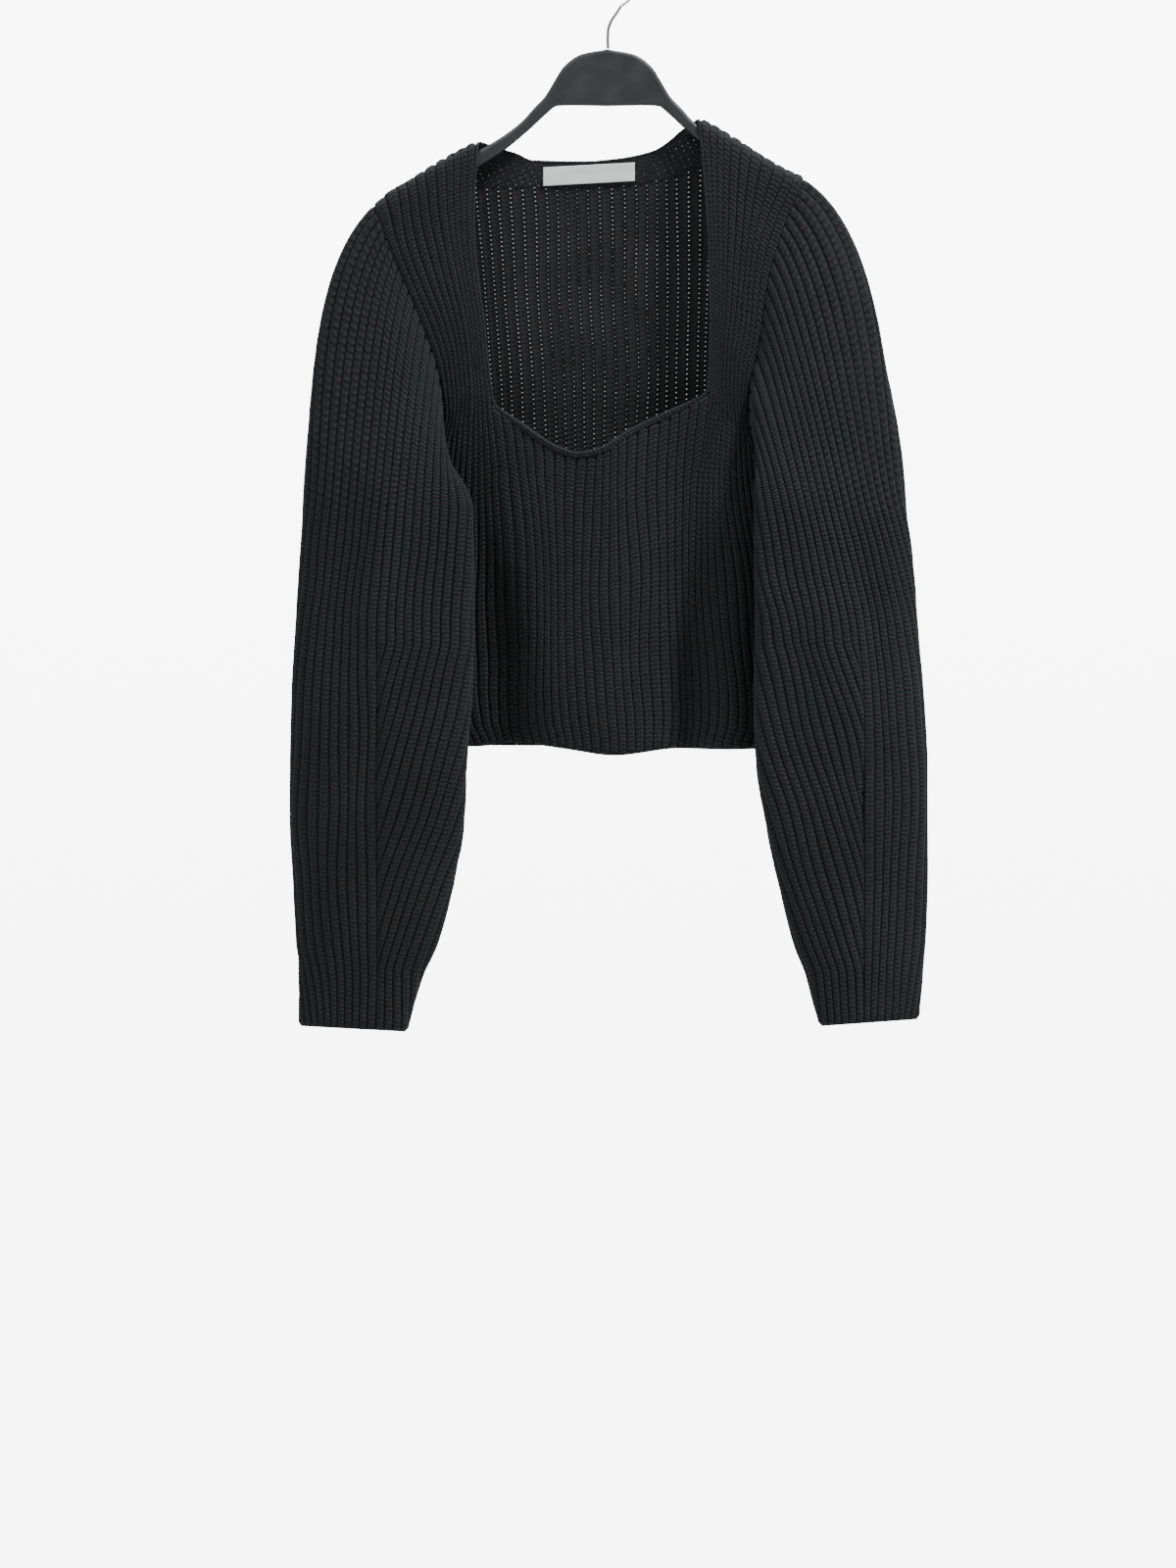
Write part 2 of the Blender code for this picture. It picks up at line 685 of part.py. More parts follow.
def mesh_from(name, points, faces):
    """A closed mesh in metres from points in millimetres, with its faces turned outwards."""
    mesh = bpy.data.meshes.new(name)
    mesh.from_pydata([tuple(point) for point in np.asarray(points) * MM], [], faces)
    shape = bmesh.new()
    shape.from_mesh(mesh)
    bmesh.ops.triangulate(shape, faces=shape.faces)
    bmesh.ops.recalc_face_normals(shape, faces=shape.faces)
    shape.to_mesh(mesh)
    shape.free()
    return mesh


class RibbedWall:
    """Collects a wall of knit cells: a plain inner face and an outer face with raised ribs."""

    def __init__(self):
        self.points = []
        self.faces = []
        self.cells = {}

    def add(self, point):
        self.points.append(point)
        return len(self.points) - 1

    def knot(self, inner, normal):
        """A rib valley: one inner and one outer point."""
        return self.add(inner), self.add(inner + normal * WALL)

    def face(self, *corners):
        corners = [c for i, c in enumerate(corners) if c != corners[i - 1]]
        if len(set(corners)) > 2:
            self.faces.append(tuple(dict.fromkeys(corners)))

    def cell(self, low, high, low_peak, high_peak):
        """One rib over one row: low and high are its valleys left and right on two rows."""
        (a, a_out), (b, b_out) = low
        (c, c_out), (d, d_out) = high
        self.face(a, b, d, c)
        self.face(a_out, low_peak, high_peak, c_out)
        self.face(low_peak, b_out, d_out, high_peak)

    def rim(self, left, right, peak):
        """Closes the wall across one rib at an open edge."""
        self.face(left[0], right[0], right[1], peak, left[1])

    def side(self, low, high):
        """Closes the wall along one rib at an open edge."""
        self.face(low[0], high[0], high[1], low[1])


def panel_wall(panel, rows, present):
    """A body panel as one wall: present says which ribs each row of cells has."""
    wall = RibbedWall()
    knots = {}
    peaks = {}
    ribs = np.arange(PANEL_RIBS + 1)
    for r, v in enumerate(rows):
        inner = panel_point(panel, ribs, v)
        normal = panel_normal(panel, ribs, v)
        peak_in = panel_point(panel, ribs[:-1] + 0.5, v)
        peak_normal = panel_normal(panel, ribs[:-1] + 0.5, v)
        used = [j for j in range(PANEL_RIBS) if present(r, j) or present(r - 1, j)]
        for j in sorted(set(used) | {j + 1 for j in used}):
            knots[r, j] = wall.knot(inner[j], normal[j])
        for j in used:
            height = WALL + RIB_RELIEF * panel_relief(panel, j, v)
            peaks[r, j] = wall.add(peak_in[j] + peak_normal[j] * height)
    for r in range(len(rows) - 1):
        for j in range(PANEL_RIBS):
            if not present(r, j):
                continue
            low = knots[r, j], knots[r, j + 1]
            high = knots[r + 1, j], knots[r + 1, j + 1]
            wall.cell(low, high, peaks[r, j], peaks[r + 1, j])
            if not present(r - 1, j):
                wall.rim(*low, peaks[r, j])
            if not present(r + 1, j):
                wall.rim(*high, peaks[r + 1, j])
            if not present(r, j - 1):
                wall.side(low[0], high[0])
            if not present(r, j + 1):
                wall.side(low[1], high[1])
    return wall


def panel_relief(panel, rib, v):
    """Ribs beside the front neck edge are lower."""
    strap = panel["side"] + panel["strap"]
    k = min(rib + 0.5, PANEL_RIBS - rib - 0.5)
    return BAND_RELIEF if v > 1 and panel["band"] and k > strap - panel["band"] else 1.0


def build_front(knit, collection):
    rows = PANEL_ROWS + FRONT_STRAP_ROWS
    chest = len(PANEL_ROWS) - 1

    def present(r, j):
        k = min(j, PANEL_RIBS - 1 - j)
        inside = 0 <= j < PANEL_RIBS and 0 <= r < len(rows) - 1
        on_strap = FRONT_SIDE_RIBS <= k < FRONT_SIDE_RIBS + FRONT_STRAP_RIBS
        return inside and (r < chest or on_strap)

    wall = panel_wall(FRONT, rows, present)
    return new_object("front", mesh_from("front", wall.points, wall.faces), knit, collection)


def build_back(knit, collection):
    rows = PANEL_ROWS + BACK_TOP_ROWS
    chest = len(PANEL_ROWS) - 1
    yoke = rows.index(2.0)

    def present(r, j):
        k = min(j, PANEL_RIBS - 1 - j)
        inside = 0 <= j < PANEL_RIBS and 0 <= r < len(rows) - 1
        above_arm = k >= BACK_SIDE_RIBS
        on_strap = above_arm and k < BACK_SIDE_RIBS + BACK_STRAP_RIBS
        return inside and (r < chest or (r < yoke and above_arm) or on_strap)

    wall = panel_wall(BACK, rows, present)
    return new_object("back", mesh_from("back", wall.points, wall.faces), knit, collection)


def sleeve_grid(sleeve, side):
    """Inner points of a sleeve, row by row, at every half rib."""
    halves = np.arange(0, 2 * SLEEVE_RIBS) / 2
    grid = [[cap_point(sleeve, side, rib, part) for rib in halves] for part in CAP_ROWS]
    counts = [SLEEVE_RIBS] * len(CAP_ROWS)
    for z in sleeve["z"]:
        count = int(round(float(sleeve_count(z))))
        ribs = np.minimum(halves, count) * sleeve_count(z) / count
        row = [ring_point(sleeve, rib, z) for rib in ribs]
        grid.append(row)
        counts.append(count)
    return np.array(grid), counts


def build_sleeve(name, sleeve, side, knit, collection):
    grid, counts = sleeve_grid(sleeve, side)
    ahead = np.roll(grid, -1, axis=1)
    behind = np.roll(grid, 1, axis=1)
    across = ahead - behind
    down = np.gradient(grid, axis=0)
    normal = unit(np.cross(down, across)) * side
    wall = RibbedWall()
    knots = []
    peaks = []
    for r, count in enumerate(counts):
        row_knots = []
        row_peaks = []
        for j in range(SLEEVE_RIBS):
            if j >= count:
                row_knots.append(row_knots[0])
                row_peaks.append(row_knots[0][1])
                continue
            way = grid[r, 2 * j]
            lift = sleeve_fold(side, j, way[2])
            row_knots.append(wall.knot(way + normal[r, 2 * j] * lift, normal[r, 2 * j]))
            crest = grid[r, 2 * j + 1]
            lift = sleeve_fold(side, j + 0.5, crest[2])
            row_peaks.append(wall.add(crest + normal[r, 2 * j + 1] * (lift + FULL_WALL)))
        knots.append(row_knots)
        peaks.append(row_peaks)
    for r in range(len(counts) - 1):
        for j in range(SLEEVE_RIBS):
            k = (j + 1) % SLEEVE_RIBS
            low = knots[r][j], knots[r][k]
            high = knots[r + 1][j], knots[r + 1][k]
            wall.cell(low, high, peaks[r][j], peaks[r + 1][j])
    for r in (0, len(counts) - 1):
        for j in range(counts[r]):
            wall.rim(knots[r][j], knots[r][(j + 1) % SLEEVE_RIBS], peaks[r][j])
    return new_object(name, mesh_from(name, wall.points, wall.faces), knit, collection)


def strip(name, rows, direction, wall, material, collection):
    """A plain strip of cloth through rows of inner points, thick along one direction."""
    rows = np.array(rows)
    height, width = rows.shape[:2]
    inner = rows.reshape(-1, 3)
    points = np.concatenate([inner, inner + np.array(direction) * wall])
    index = np.arange(height * width).reshape(height, width)
    shift = height * width
    faces = []
    for r in range(height - 1):
        for i in range(width - 1):
            cell = (index[r, i], index[r, i + 1], index[r + 1, i + 1], index[r + 1, i])
            faces += [cell, tuple(corner + shift for corner in cell)]
    border = [*index[0], *index[1:, -1], *index[-1, -2::-1], *index[-2:0:-1, 0]]
    for a, b in zip(border, border[1:] + border[:1]):
        faces.append((a, b, b + shift, a + shift))
    return new_object(name, mesh_from(name, points, faces), material, collection)


def neck_depth(x, z):
    """Depth of the back neck: it passes behind the hanger's arms before it meets the ridge."""
    left, right = BACK_LEFT["neck_x"][-1], BACK_RIGHT["neck_x"][-1]
    inside = np.clip(np.minimum(x - left, right - x) / NECK_TURN, 0, 1)
    return np.maximum(body_depth(1, x, z), BEHIND_ARM * inside)


def back_neck_edge(x):
    return np.minimum(read(BACK_NECK, "x", "z", x), read(RIDGE, "x", "z", x) - FULL_WALL - SEAM_GAP)


def across_back_neck(margin, count):
    """Places across the back neck, closer together beside the hanger's arms."""
    left, right = BACK_LEFT["neck_x"][-1] + margin, BACK_RIGHT["neck_x"][-1] - margin
    turns = NECK_TURN * np.array([0.0, 0.5, 1.0])
    inset = 3 * NECK_TURN
    middle = np.linspace(left + inset, right - inset, count)
    return np.concatenate([left + turns, middle, (right - turns)[::-1]])


def build_back_neckband(knit, collection):
    """Plain band between the back's ribs and the back neck edge."""
    x = across_back_neck(2 * SEAM_GAP, NECK_STEPS)
    low = read(YOKE, "x", "z", x) + 2 * SEAM_GAP
    high = back_neck_edge(x)
    rows = []
    for part in (0.0, 0.4, 0.75, 0.9, 1.0):
        z = mix(low, high, part)
        rows.append(np.stack([x, neck_depth(x, z), z], -1))
    return strip("back_neckband", rows, (0, 1, 0), BAND_WALL, knit, collection)


def build_label(cloth, collection):
    """Blank label on the inside of the back neck, standing just off the cloth."""
    x = np.linspace(LABEL_TOP["x"][0], LABEL_TOP["x"][1], LABEL_STEPS)
    high = read(LABEL_TOP, "x", "z", x)
    low = high - LABEL_HEIGHT
    rows = []
    for z in (low, mix(low, high, 0.5), high):
        rows.append(np.stack([x, neck_depth(x, z) - LABEL_LIFT, z], -1))
    return strip("neck_label", rows, (0, -1, 0), LABEL_WALL, cloth, collection)


def strap_binding(side, rows):
    """The thin binding along a strap's neck edge, up to the shoulder ridge."""
    thin = BINDING_RADIUS * STRAP_BINDING
    strap = FRONT_SIDE_RIBS + FRONT_STRAP_RIBS
    rib = strap if side < 0 else PANEL_RIBS - strap
    normal = panel_normal(FRONT, rib, rows)
    centre = panel_point(FRONT, rib, rows) + normal * WALL / 2
    centre[:, 0] -= side * (thin + BINDING_GAP + np.abs(normal[:, 0]) * WALL / 2)
    return [(point, thin) for point in centre]


def sweetheart_binding(count):
    """The rolled binding along the sweetheart edge, thinner where it meets the straps."""
    thin = BINDING_RADIUS * STRAP_BINDING
    first, last = SWEETHEART["x"][[0, -1]]
    x = np.linspace(first + SWEETHEART_INSET, last - SWEETHEART_INSET, count)
    z = read(SWEETHEART, "x", "z", x)
    edge = np.stack([x, body_depth(-1, x, z) - WALL / 2, z], -1)
    slope = np.gradient(z, x)
    away = unit(np.stack([-slope, np.zeros_like(x), np.ones_like(x)], -1))
    order = np.arange(count)
    grow = np.clip(np.minimum(order, count - 1 - order) / 3, 0, 1)
    radius = mix(thin, BINDING_RADIUS, grow)
    return list(zip(edge + away * (radius + SWEETHEART_GAP)[:, None], radius))


def binding_path():
    """Centre line and thickness of the rolled binding round the whole neck edge."""
    thin = BINDING_RADIUS * STRAP_BINDING
    rows = np.concatenate([np.linspace(1.05, 2.85, 13), [2.93, 2.97, 3.0]])
    x = across_back_neck(thin + BINDING_GAP, NECK_STEPS)[::-1]
    z = back_neck_edge(x)
    turn = 1 - np.clip(np.minimum(x - x[-1], x[0] - x) / (2 * NECK_TURN), 0, 1)
    above = z + thin + BINDING_GAP + BINDING_TURN_GAP * turn
    back = np.stack([x, neck_depth(x, z) + BAND_WALL / 2, above], -1)
    return (strap_binding(-1, rows[::-1]) + sweetheart_binding(25) + strap_binding(1, rows)
            + [(point, thin) for point in back])


def tube(name, path, cyclic, resolution, material, collection):
    """A round tube along points in millimetres, each with its own radius."""
    curve = bpy.data.curves.new(name, "CURVE")
    curve.dimensions = "3D"
    curve.bevel_depth = MM
    curve.bevel_resolution = resolution
    curve.resolution_u = 1
    curve.use_fill_caps = not cyclic
    line = curve.splines.new("POLY")
    line.points.add(len(path) - 1)
    for knot, (point, radius) in zip(line.points, path):
        knot.co = (*(np.asarray(point) * MM), 1)
        knot.radius = radius
    line.use_cyclic_u = cyclic
    return new_object(name, curve, material, collection)


def build_hanger(plastic, collection):
    """Flat hanger body with rounded edges, symmetrical about its hook."""
    top = list(zip(HANGER_TOP["x"], HANGER_TOP["z"]))
    bottom = list(zip(HANGER_BOTTOM["x"], HANGER_BOTTOM["z"]))
    right = top[1:] + bottom[::-1]
    left = [(-x, z) for x, z in reversed(right) if x > 0]
    outline = [top[0]] + right + left
    curve = bpy.data.curves.new("hanger", "CURVE")
    curve.dimensions = "2D"
    curve.fill_mode = "BOTH"
    curve.extrude = (HANGER_THICKNESS / 2 - HANGER_EDGE) * MM
    curve.bevel_depth = HANGER_EDGE * MM
    curve.bevel_resolution = 1
    curve.offset = -HANGER_EDGE * MM
    line = curve.splines.new("POLY")
    line.points.add(len(outline) - 1)
    for knot, (x, z) in zip(line.points, outline):
        knot.co = (x * MM, z * MM, 0, 1)
    line.use_cyclic_u = True
    hanger = new_object("hanger", curve, plastic, collection)
    hanger.rotation_euler = (math.pi / 2, 0, 0)
    return hanger


def build_hook(chrome, collection):
    """Wire hook: a stem out of the hanger's hump and a round crook over the rail."""
    path = [((x, 0, z), WIRE_RADIUS) for x, z in zip(STEM["x"], STEM["z"])]
    centre = WIRE_RADIUS - HOOK_RADIUS
    for angle in np.linspace(HOOK_START_ANGLE, HOOK_TIP_ANGLE, HOOK_STEPS):
        turn = math.radians(angle)
        point = (HOOK_RADIUS * math.cos(turn), 0, centre + HOOK_RADIUS * math.sin(turn))
        path.append((point, WIRE_RADIUS))
    return tube("hook", path, False, 2, chrome, collection)


def material(name, colour, roughness, metallic=0.0):
    finish = bpy.data.materials.new(name)
    finish.use_nodes = True
    shader = finish.node_tree.nodes["Principled BSDF"]
    shader.inputs["Base Color"].default_value = (*colour, 1)
    shader.inputs["Roughness"].default_value = roughness
    shader.inputs["Metallic"].default_value = metallic
    return finish


def main():
    for obj in list(bpy.data.objects):
        bpy.data.objects.remove(obj, do_unlink=True)
    collection = bpy.data.collections.new("sweater_on_hanger")
    bpy.context.scene.collection.children.link(collection)
    knit = material("charcoal_knit", (0.016, 0.018, 0.018), 0.9)
    trim = material("binding_knit", (0.018, 0.020, 0.020), 0.85)
    cloth = material("label_cloth", (0.85, 0.85, 0.83), 0.7)
    plastic = material("hanger_plastic", (0.045, 0.047, 0.048), 0.5)
    chrome = material("hook_chrome", (0.75, 0.75, 0.76), 0.15, 1.0)
    build_front(knit, collection)
    build_back(knit, collection)
    build_sleeve("sleeve_left", LEFT_SLEEVE, -1, knit, collection)
    build_sleeve("sleeve_right", RIGHT_SLEEVE, 1, knit, collection)
    build_back_neckband(trim, collection)
    tube("neck_binding", binding_path(), True, 1, trim, collection)
    build_label(cloth, collection)
    build_hanger(plastic, collection)
    build_hook(chrome, collection)


main()
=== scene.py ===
"""Looks of the cropped rib-knit sweater on its hanger: fine knit over the part's own forms.

The frame's axes: Z up, X across the garment, the front faces -Y, the origin inside the hook's top.
Tables are in millimetres, as in the part's own design. Objects are in metres.
"""
import math

import bmesh
import bpy
import numpy as np
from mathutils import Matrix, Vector

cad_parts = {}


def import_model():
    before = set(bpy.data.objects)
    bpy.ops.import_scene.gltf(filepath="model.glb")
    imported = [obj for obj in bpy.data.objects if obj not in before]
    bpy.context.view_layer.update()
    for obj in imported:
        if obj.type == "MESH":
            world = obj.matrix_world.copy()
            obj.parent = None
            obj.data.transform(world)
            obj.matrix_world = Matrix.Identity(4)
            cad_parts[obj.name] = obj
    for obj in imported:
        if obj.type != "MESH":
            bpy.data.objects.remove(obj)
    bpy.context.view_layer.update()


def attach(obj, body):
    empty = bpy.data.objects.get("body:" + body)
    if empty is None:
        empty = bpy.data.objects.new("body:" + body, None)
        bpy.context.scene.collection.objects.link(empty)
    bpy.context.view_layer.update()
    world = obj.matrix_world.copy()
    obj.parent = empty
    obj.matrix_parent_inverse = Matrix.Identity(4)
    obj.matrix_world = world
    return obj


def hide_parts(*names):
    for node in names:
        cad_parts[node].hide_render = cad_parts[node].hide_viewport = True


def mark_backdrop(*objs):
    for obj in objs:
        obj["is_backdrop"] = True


MM = 0.001

# Knit wall
WALL = 1.5
RIB_RELIEF = 1.5
SEAM_GAP = 0.3
FULL_WALL = WALL + RIB_RELIEF
LENS_POWER = 0.8
HEM_SPREAD = 0.05
RIDGE_TURN = 0.12
NORMAL_STEP_RIBS = 0.2
NORMAL_STEP_ROWS = 0.02

# Ribs across a body panel, from one side seam to the other
PANEL_RIBS = 50
FRONT_SIDE_RIBS = 3
FRONT_STRAP_RIBS = 11
FRONT_BAND_RIBS = 4
FRONT_BAND_FROM = 0.70
BACK_SIDE_RIBS = 5
BACK_STRAP_RIBS = 10

# Ribs round a sleeve: at the armhole and at the cuff
SLEEVE_RIBS = 42
CUFF_RIBS = 32
SHOULDER_RIB = 10
UNDERARM_RIB = 24

# Neck edge
BINDING_RADIUS = 2.0
STRAP_BINDING = 0.6
SWEETHEART_INSET = 5.0
BAND_WALL = 2.0
LABEL_WALL = 0.7
LABEL_LIFT = 0.8
NECK_TURN = 2.5
BEHIND_ARM = 5.2

# Hanger
HANGER_THICKNESS = 8.0
HANGER_EDGE = 3.0
WIRE_RADIUS = 1.3
HOOK_RADIUS = 23.7
HOOK_START_ANGLE = -62.0
HOOK_TIP_ANGLE = 215.0
SHARP_ANGLE = 35.0
OUTLINE_POINTS = (70, 60)
EDGE_STEPS = 4
STEM_POINTS = 16
HOOK_POINTS = 90
WIRE_STEPS = 5


def columns(names, rows):
    """Turns rows of numbers into one array for each named column."""
    return {name: np.array(values, float) for name, values in zip(names.split(), zip(*rows))}


# How far the front's ribs are drawn together at the sweetheart
GATHER_X = -3.0
GATHER_WIDTH = 26.0
GATHER_DEPTH = 8.0

# How far the front's ribs drift sideways at mid height, along the edges of its folds
DRIFT = columns("x width shift", [
    (-78, 30, 15),
    (84, 24, -9),
])

# Closed body sections by height: middle and half width of the lens
BODY = columns("z middle half", [
    (-650, 1, 161),
    (-640, 0.8, 163),
    (-622, -1, 176),
    (-590, -4, 184),
    (-514, -8.7, 189),
    (-428, -9.5, 189),
    (-361, -9.5, 190),
    (-277, -11, 192),
    (-198, -15, 194),
    (-130, -16, 195),
])

# Inner depth of the body below the shoulder ridge: over the hanger, and the belly in mid panel
DEPTH = columns("drop over_hanger front_belly back_belly", [
    (0, 0, 0, 0),
    (3.5, 5.4, 0, 0),
    (9, 7.5, 0, 0),
    (22, 8.6, 1, 1),
    (60, 8.4, 6, 4),
    (130, 6, 16, 9),
    (190, 2.5, 25, 13),
    (224, 0, 29, 16),
    (330, 0, 33, 20),
    (430, 0, 34, 21),
    (520, 0, 31, 19),
])

# Outer line of the shoulders where the cloth folds over the hanger
RIDGE = columns("x z", [
    (-205, -207), (-188, -203), (-175, -192.5), (-160, -184), (-140, -171), (-118, -158.5),
    (-105, -152.5), (-60, -145), (40, -136), (73, -133.8), (79, -136), (100, -148), (127, -165.5),
    (144, -175), (158, -181.5), (175, -189),
])

# Rails of the front above the chest: armhole and neck edges of the two straps
FRONT_LEFT = columns("v arm_x arm_z neck_x neck_z", [
    (1, -139, -405, -93.5, -366),
    (1.3, -131, -376, -98, -333),
    (1.65, -134.5, -344, -101.5, -297),
    (2, -143, -316, -105.5, -269),
    (2.35, -159.5, -275, -109.5, -230),
    (2.7, -177.5, -233, -109, -194),
    (3, -188, -203, -106.5, -153),
])
FRONT_RIGHT = columns("v arm_x arm_z neck_x neck_z", [
    (1, 118.5, -405, 81.5, -358),
    (1.3, 112.5, -376, 83.5, -328),
    (1.65, 114, -348, 84, -298),
    (2, 121, -320, 83.5, -269),
    (2.35, 129, -264, 82.5, -230),
    (2.7, 140.5, -224, 79.5, -182),
    (3, 158, -182, 75, -135),
])

# The same for the back, whose middle part runs on between the neck rails up to the yoke
BACK_LEFT = columns("v arm_x arm_z neck_x neck_z", [
    (1, -150, -402, -90, -402),
    (1.33, -147, -356, -95, -330),
    (1.66, -158, -294, -100, -260),
    (2, -177, -240, -106.5, -188),
    (2.6, -185, -214, -106.5, -165),
    (3, -188, -203, -106.5, -153),
])
BACK_RIGHT = columns("v arm_x arm_z neck_x neck_z", [
    (1, 131, -402, 71, -402),
    (1.33, 127, -352, 73, -325),
    (1.66, 135, -284, 74.5, -250),
    (2, 147, -222, 75, -172),
    (2.6, 154.5, -194, 75, -148),
    (3, 158, -182, 75, -135),
])

# Lower armhole curve from the side seam inwards, as parts of the way to the strap
UNDERARM_Z = -428.5
UNDERARM_CURVE = columns("part x_part z_part", [
    (0, 0, 0),
    (0.35, 0.35, 0.15),
    (0.7, 0.72, 0.5),
    (1, 1, 1),
])

# Panel edges: the sweetheart, the back of the yoke, the back neck and the two hems
SWEETHEART = columns("x z", [
    (-95, -365.5), (-61, -392.5), (-40, -405), (-24.5, -409.3), (-8, -406.8),
    (21, -389.8), (57, -372.5), (82, -357.5),
])
YOKE = columns("x z", [
    (-107, -188), (-60, -188.5), (0, -188), (45, -182), (75, -172),
])
BACK_NECK = columns("x z", [
    (-107, -154), (-84, -161.5), (-74, -164.5), (-61, -170), (-20, -171), (10, -168.5),
    (37, -162.5), (49, -155.5), (60, -146), (75, -136),
])
FRONT_HEM = columns("x z", [
    (-165, -640), (-108, -641.5), (-75, -638.5), (-36, -643.3), (5.5, -648.8), (58, -643),
    (95, -644), (165, -641),
])
BACK_HEM = columns("x z", [
    (-165, -640),
    (0, -641),
    (165, -641),
])

# Large soft folds of the body, outwards where the height is positive
BODY_FOLDS = columns("face x_top z_top x_bottom z_bottom width height", [
    (-1, 67, -365, 66, -600, 20, -15),
    (-1, 64, -480, 62, -700, 14, -6),
    (-1, 118, -380, 102, -560, 20, 13),
    (-1, -116, -360, -79, -620, 26, -18),
    (-1, -150, -400, -114, -640, 30, -14),
    (-1, -6, -330, 4, -560, 26, 4),
    (-1, 2, -560, 4, -670, 34, 4),
    (1, -70, -420, -58, -650, 24, 6),
    (1, 52, -400, 70, -640, 22, 7),
    (1, -4, -470, 6, -650, 20, -5),
])

# Sleeves below the armhole: edges across, inner half depth and how far forward each edge is
LEFT_SLEEVE = columns("z outer inner half_depth outer_y inner_y seam_line tilt", [
    (-452, -246.5, -107.5, 16, -18, -64, -176, 0),
    (-500, -249.5, -107, 19, -15, -61, -180, 0),
    (-545, -252, -107, 20, -16, -60, -184, 0),
    (-600, -255.5, -108.5, 21, -16, -57, -185, 0),
    (-650, -256.5, -112.5, 21, -15, -54, -185, 0),
    (-700, -256.5, -114.5, 20, -14, -50, -185, 0),
    (-750, -254, -123, 18, -12, -45, -185, 0),
    (-800, -251.5, -136.5, 16, -10, -40, -185, 0.5),
    (-822, -249.5, -147, 15, -10, -37, -185, 1),
    (-848, -249.5, -155.5, 14, -10, -35, -186, 2),
    (-869, -249.5, -161, 14, -10, -34, -187, 2),
])
RIGHT_SLEEVE = columns("z outer inner half_depth outer_y inner_y seam_line tilt", [
    (-452, 241.5, 117, 16, -17, -60, 178, 0),
    (-500, 247.5, 117.5, 19, -15, -58, 190, 0),
    (-545, 250.5, 118, 20, -16, -57, 200, 0),
    (-600, 254.5, 117, 21, -16, -55, 205, 0),
    (-650, 257, 118.5, 21, -15, -52, 206, 0),
    (-700, 257.5, 126, 20, -14, -49, 206, 0),
    (-750, 258.5, 136.5, 18, -12, -44, 206, 0),
    (-800, 257, 149.5, 16, -10, -39, 206, 0.5),
    (-822, 255, 158.5, 15, -10, -36, 206, 1),
    (-848, 253, 165.5, 14, -10, -34, 206, 2),
    (-864, 251.5, 170.5, 14, -10, -33, 206, 2.5),
])
SLEEVE_SECTION_POWER = 2.3
ARMHOLE_CENTRE = np.array([172.0, 0.0, -300.0])
DECREASE_TOP_Z = -560
DECREASE_END_Z = -822

# How the sleeve's knit leaves the armhole, by ribs round from the shoulder over the front:
# part of the seam's length, gap beside the seam, how far the rib keeps to its first direction,
# and that direction outwards on each sleeve, forwards and up
CAP_START = columns("rib part gap pull left right forwards up", [
    (0, 0, 0.6, 0.9, 0.88, 1.25, 0.0, -0.8),
    (4, 0.11, 0.6, 0.75, 0.5, 0.75, 0.2, -0.88),
    (8, 0.24, 0.6, 0.6, 0.28, 0.45, 0.42, -0.86),
    (12, 0.41, 0.8, 0.6, 0.12, 0.25, 0.68, -0.72),
    (16, 0.6, 1.2, 0.75, 0.02, 0.05, 0.95, -0.35),
    (20, 0.79, 4.2, 0.95, 0.0, 0.0, 1.0, 0.5),
    (24, 0.91, 6, 0.95, 0.0, 0.0, 1.0, 1.0),
    (28, 1, 3.6, 0.95, 0.15, 0.15, 1.0, 0.7),
    (32, 0.714, 3, 0.95, 0.45, 0.45, 0.7, 0.0),
    (36, 0.429, 1.6, 0.95, 0.8, 0.9, -0.15, -0.5),
    (39, 0.214, 0.8, 0.95, 0.85, 1.1, -0.4, -0.7),
    (42, 0, 0.6, 0.9, 0.88, 1.25, 0.0, -0.8),
])
CAP_END_PULL = 0.75
CAP_LEAST_REACH = 60.0
CAP_STEP = 20.0
SEAM_STEP = 0.4

# Large soft folds along the sleeves, by rib and height
SLEEVE_FOLDS = columns("side rib z_top z_bottom width height", [
    (-1, 0, -420, -600, 1.8, 3.5),
    (-1, 5, -400, -640, 2.2, -2.5),
    (-1, 36, -520, -760, 3, 2),
    (1, 2.5, -430, -640, 2, -3),
    (1, 38, -420, -660, 2.5, 2.5),
    (1, 6, -520, -760, 2, 2),
    (-1, 18, -560, -760, 2, 2.5),
    (1, 19, -540, -780, 2, 2.5),
])

# Blank woven label on the inside of the back neck
LABEL_TOP = columns("x z", [(-52, -173.5), (22, -169.5)])
LABEL_HEIGHT = 15.0
LABEL_GRID = (17, 75)
LABEL_WAVE = 0.35
LABEL_WAVES = (2, 5)
LABEL_SEED = 9
LABEL_MIDDLE = 0.8
LABEL_FOLD = 0.12

# Right half of the hanger's outline, from the middle outwards
HANGER_TOP = columns("x z", [
    (0, -78.5), (21, -82.5), (35, -92), (43.5, -105), (50.5, -116.5), (59, -125.5), (69, -136.5),
    (83, -147.5), (100, -158), (138, -179.4), (150, -187), (157, -194),
])
HANGER_BOTTOM = columns("x z", [
    (0, -124.5), (30, -124), (41, -124.5), (49, -130.5), (62, -142.5), (83, -160), (100, -171),
    (138, -192.4), (150, -199.4), (156, -201.5),
])
STEM = columns("x z", [
    (0.4, -78.1), (0.2, -72), (0.4, -64), (2.6, -56.5), (7.6, -49),
])


def smooth_way(t, start, end, leave, arrive):
    """A place between two ends, by the directions at which it leaves and arrives."""
    return ((1 + 2 * t) * (1 - t) ** 2 * start + t * t * (3 - 2 * t) * end
            + t * (1 - t) ** 2 * leave + t * t * (t - 1) * arrive)


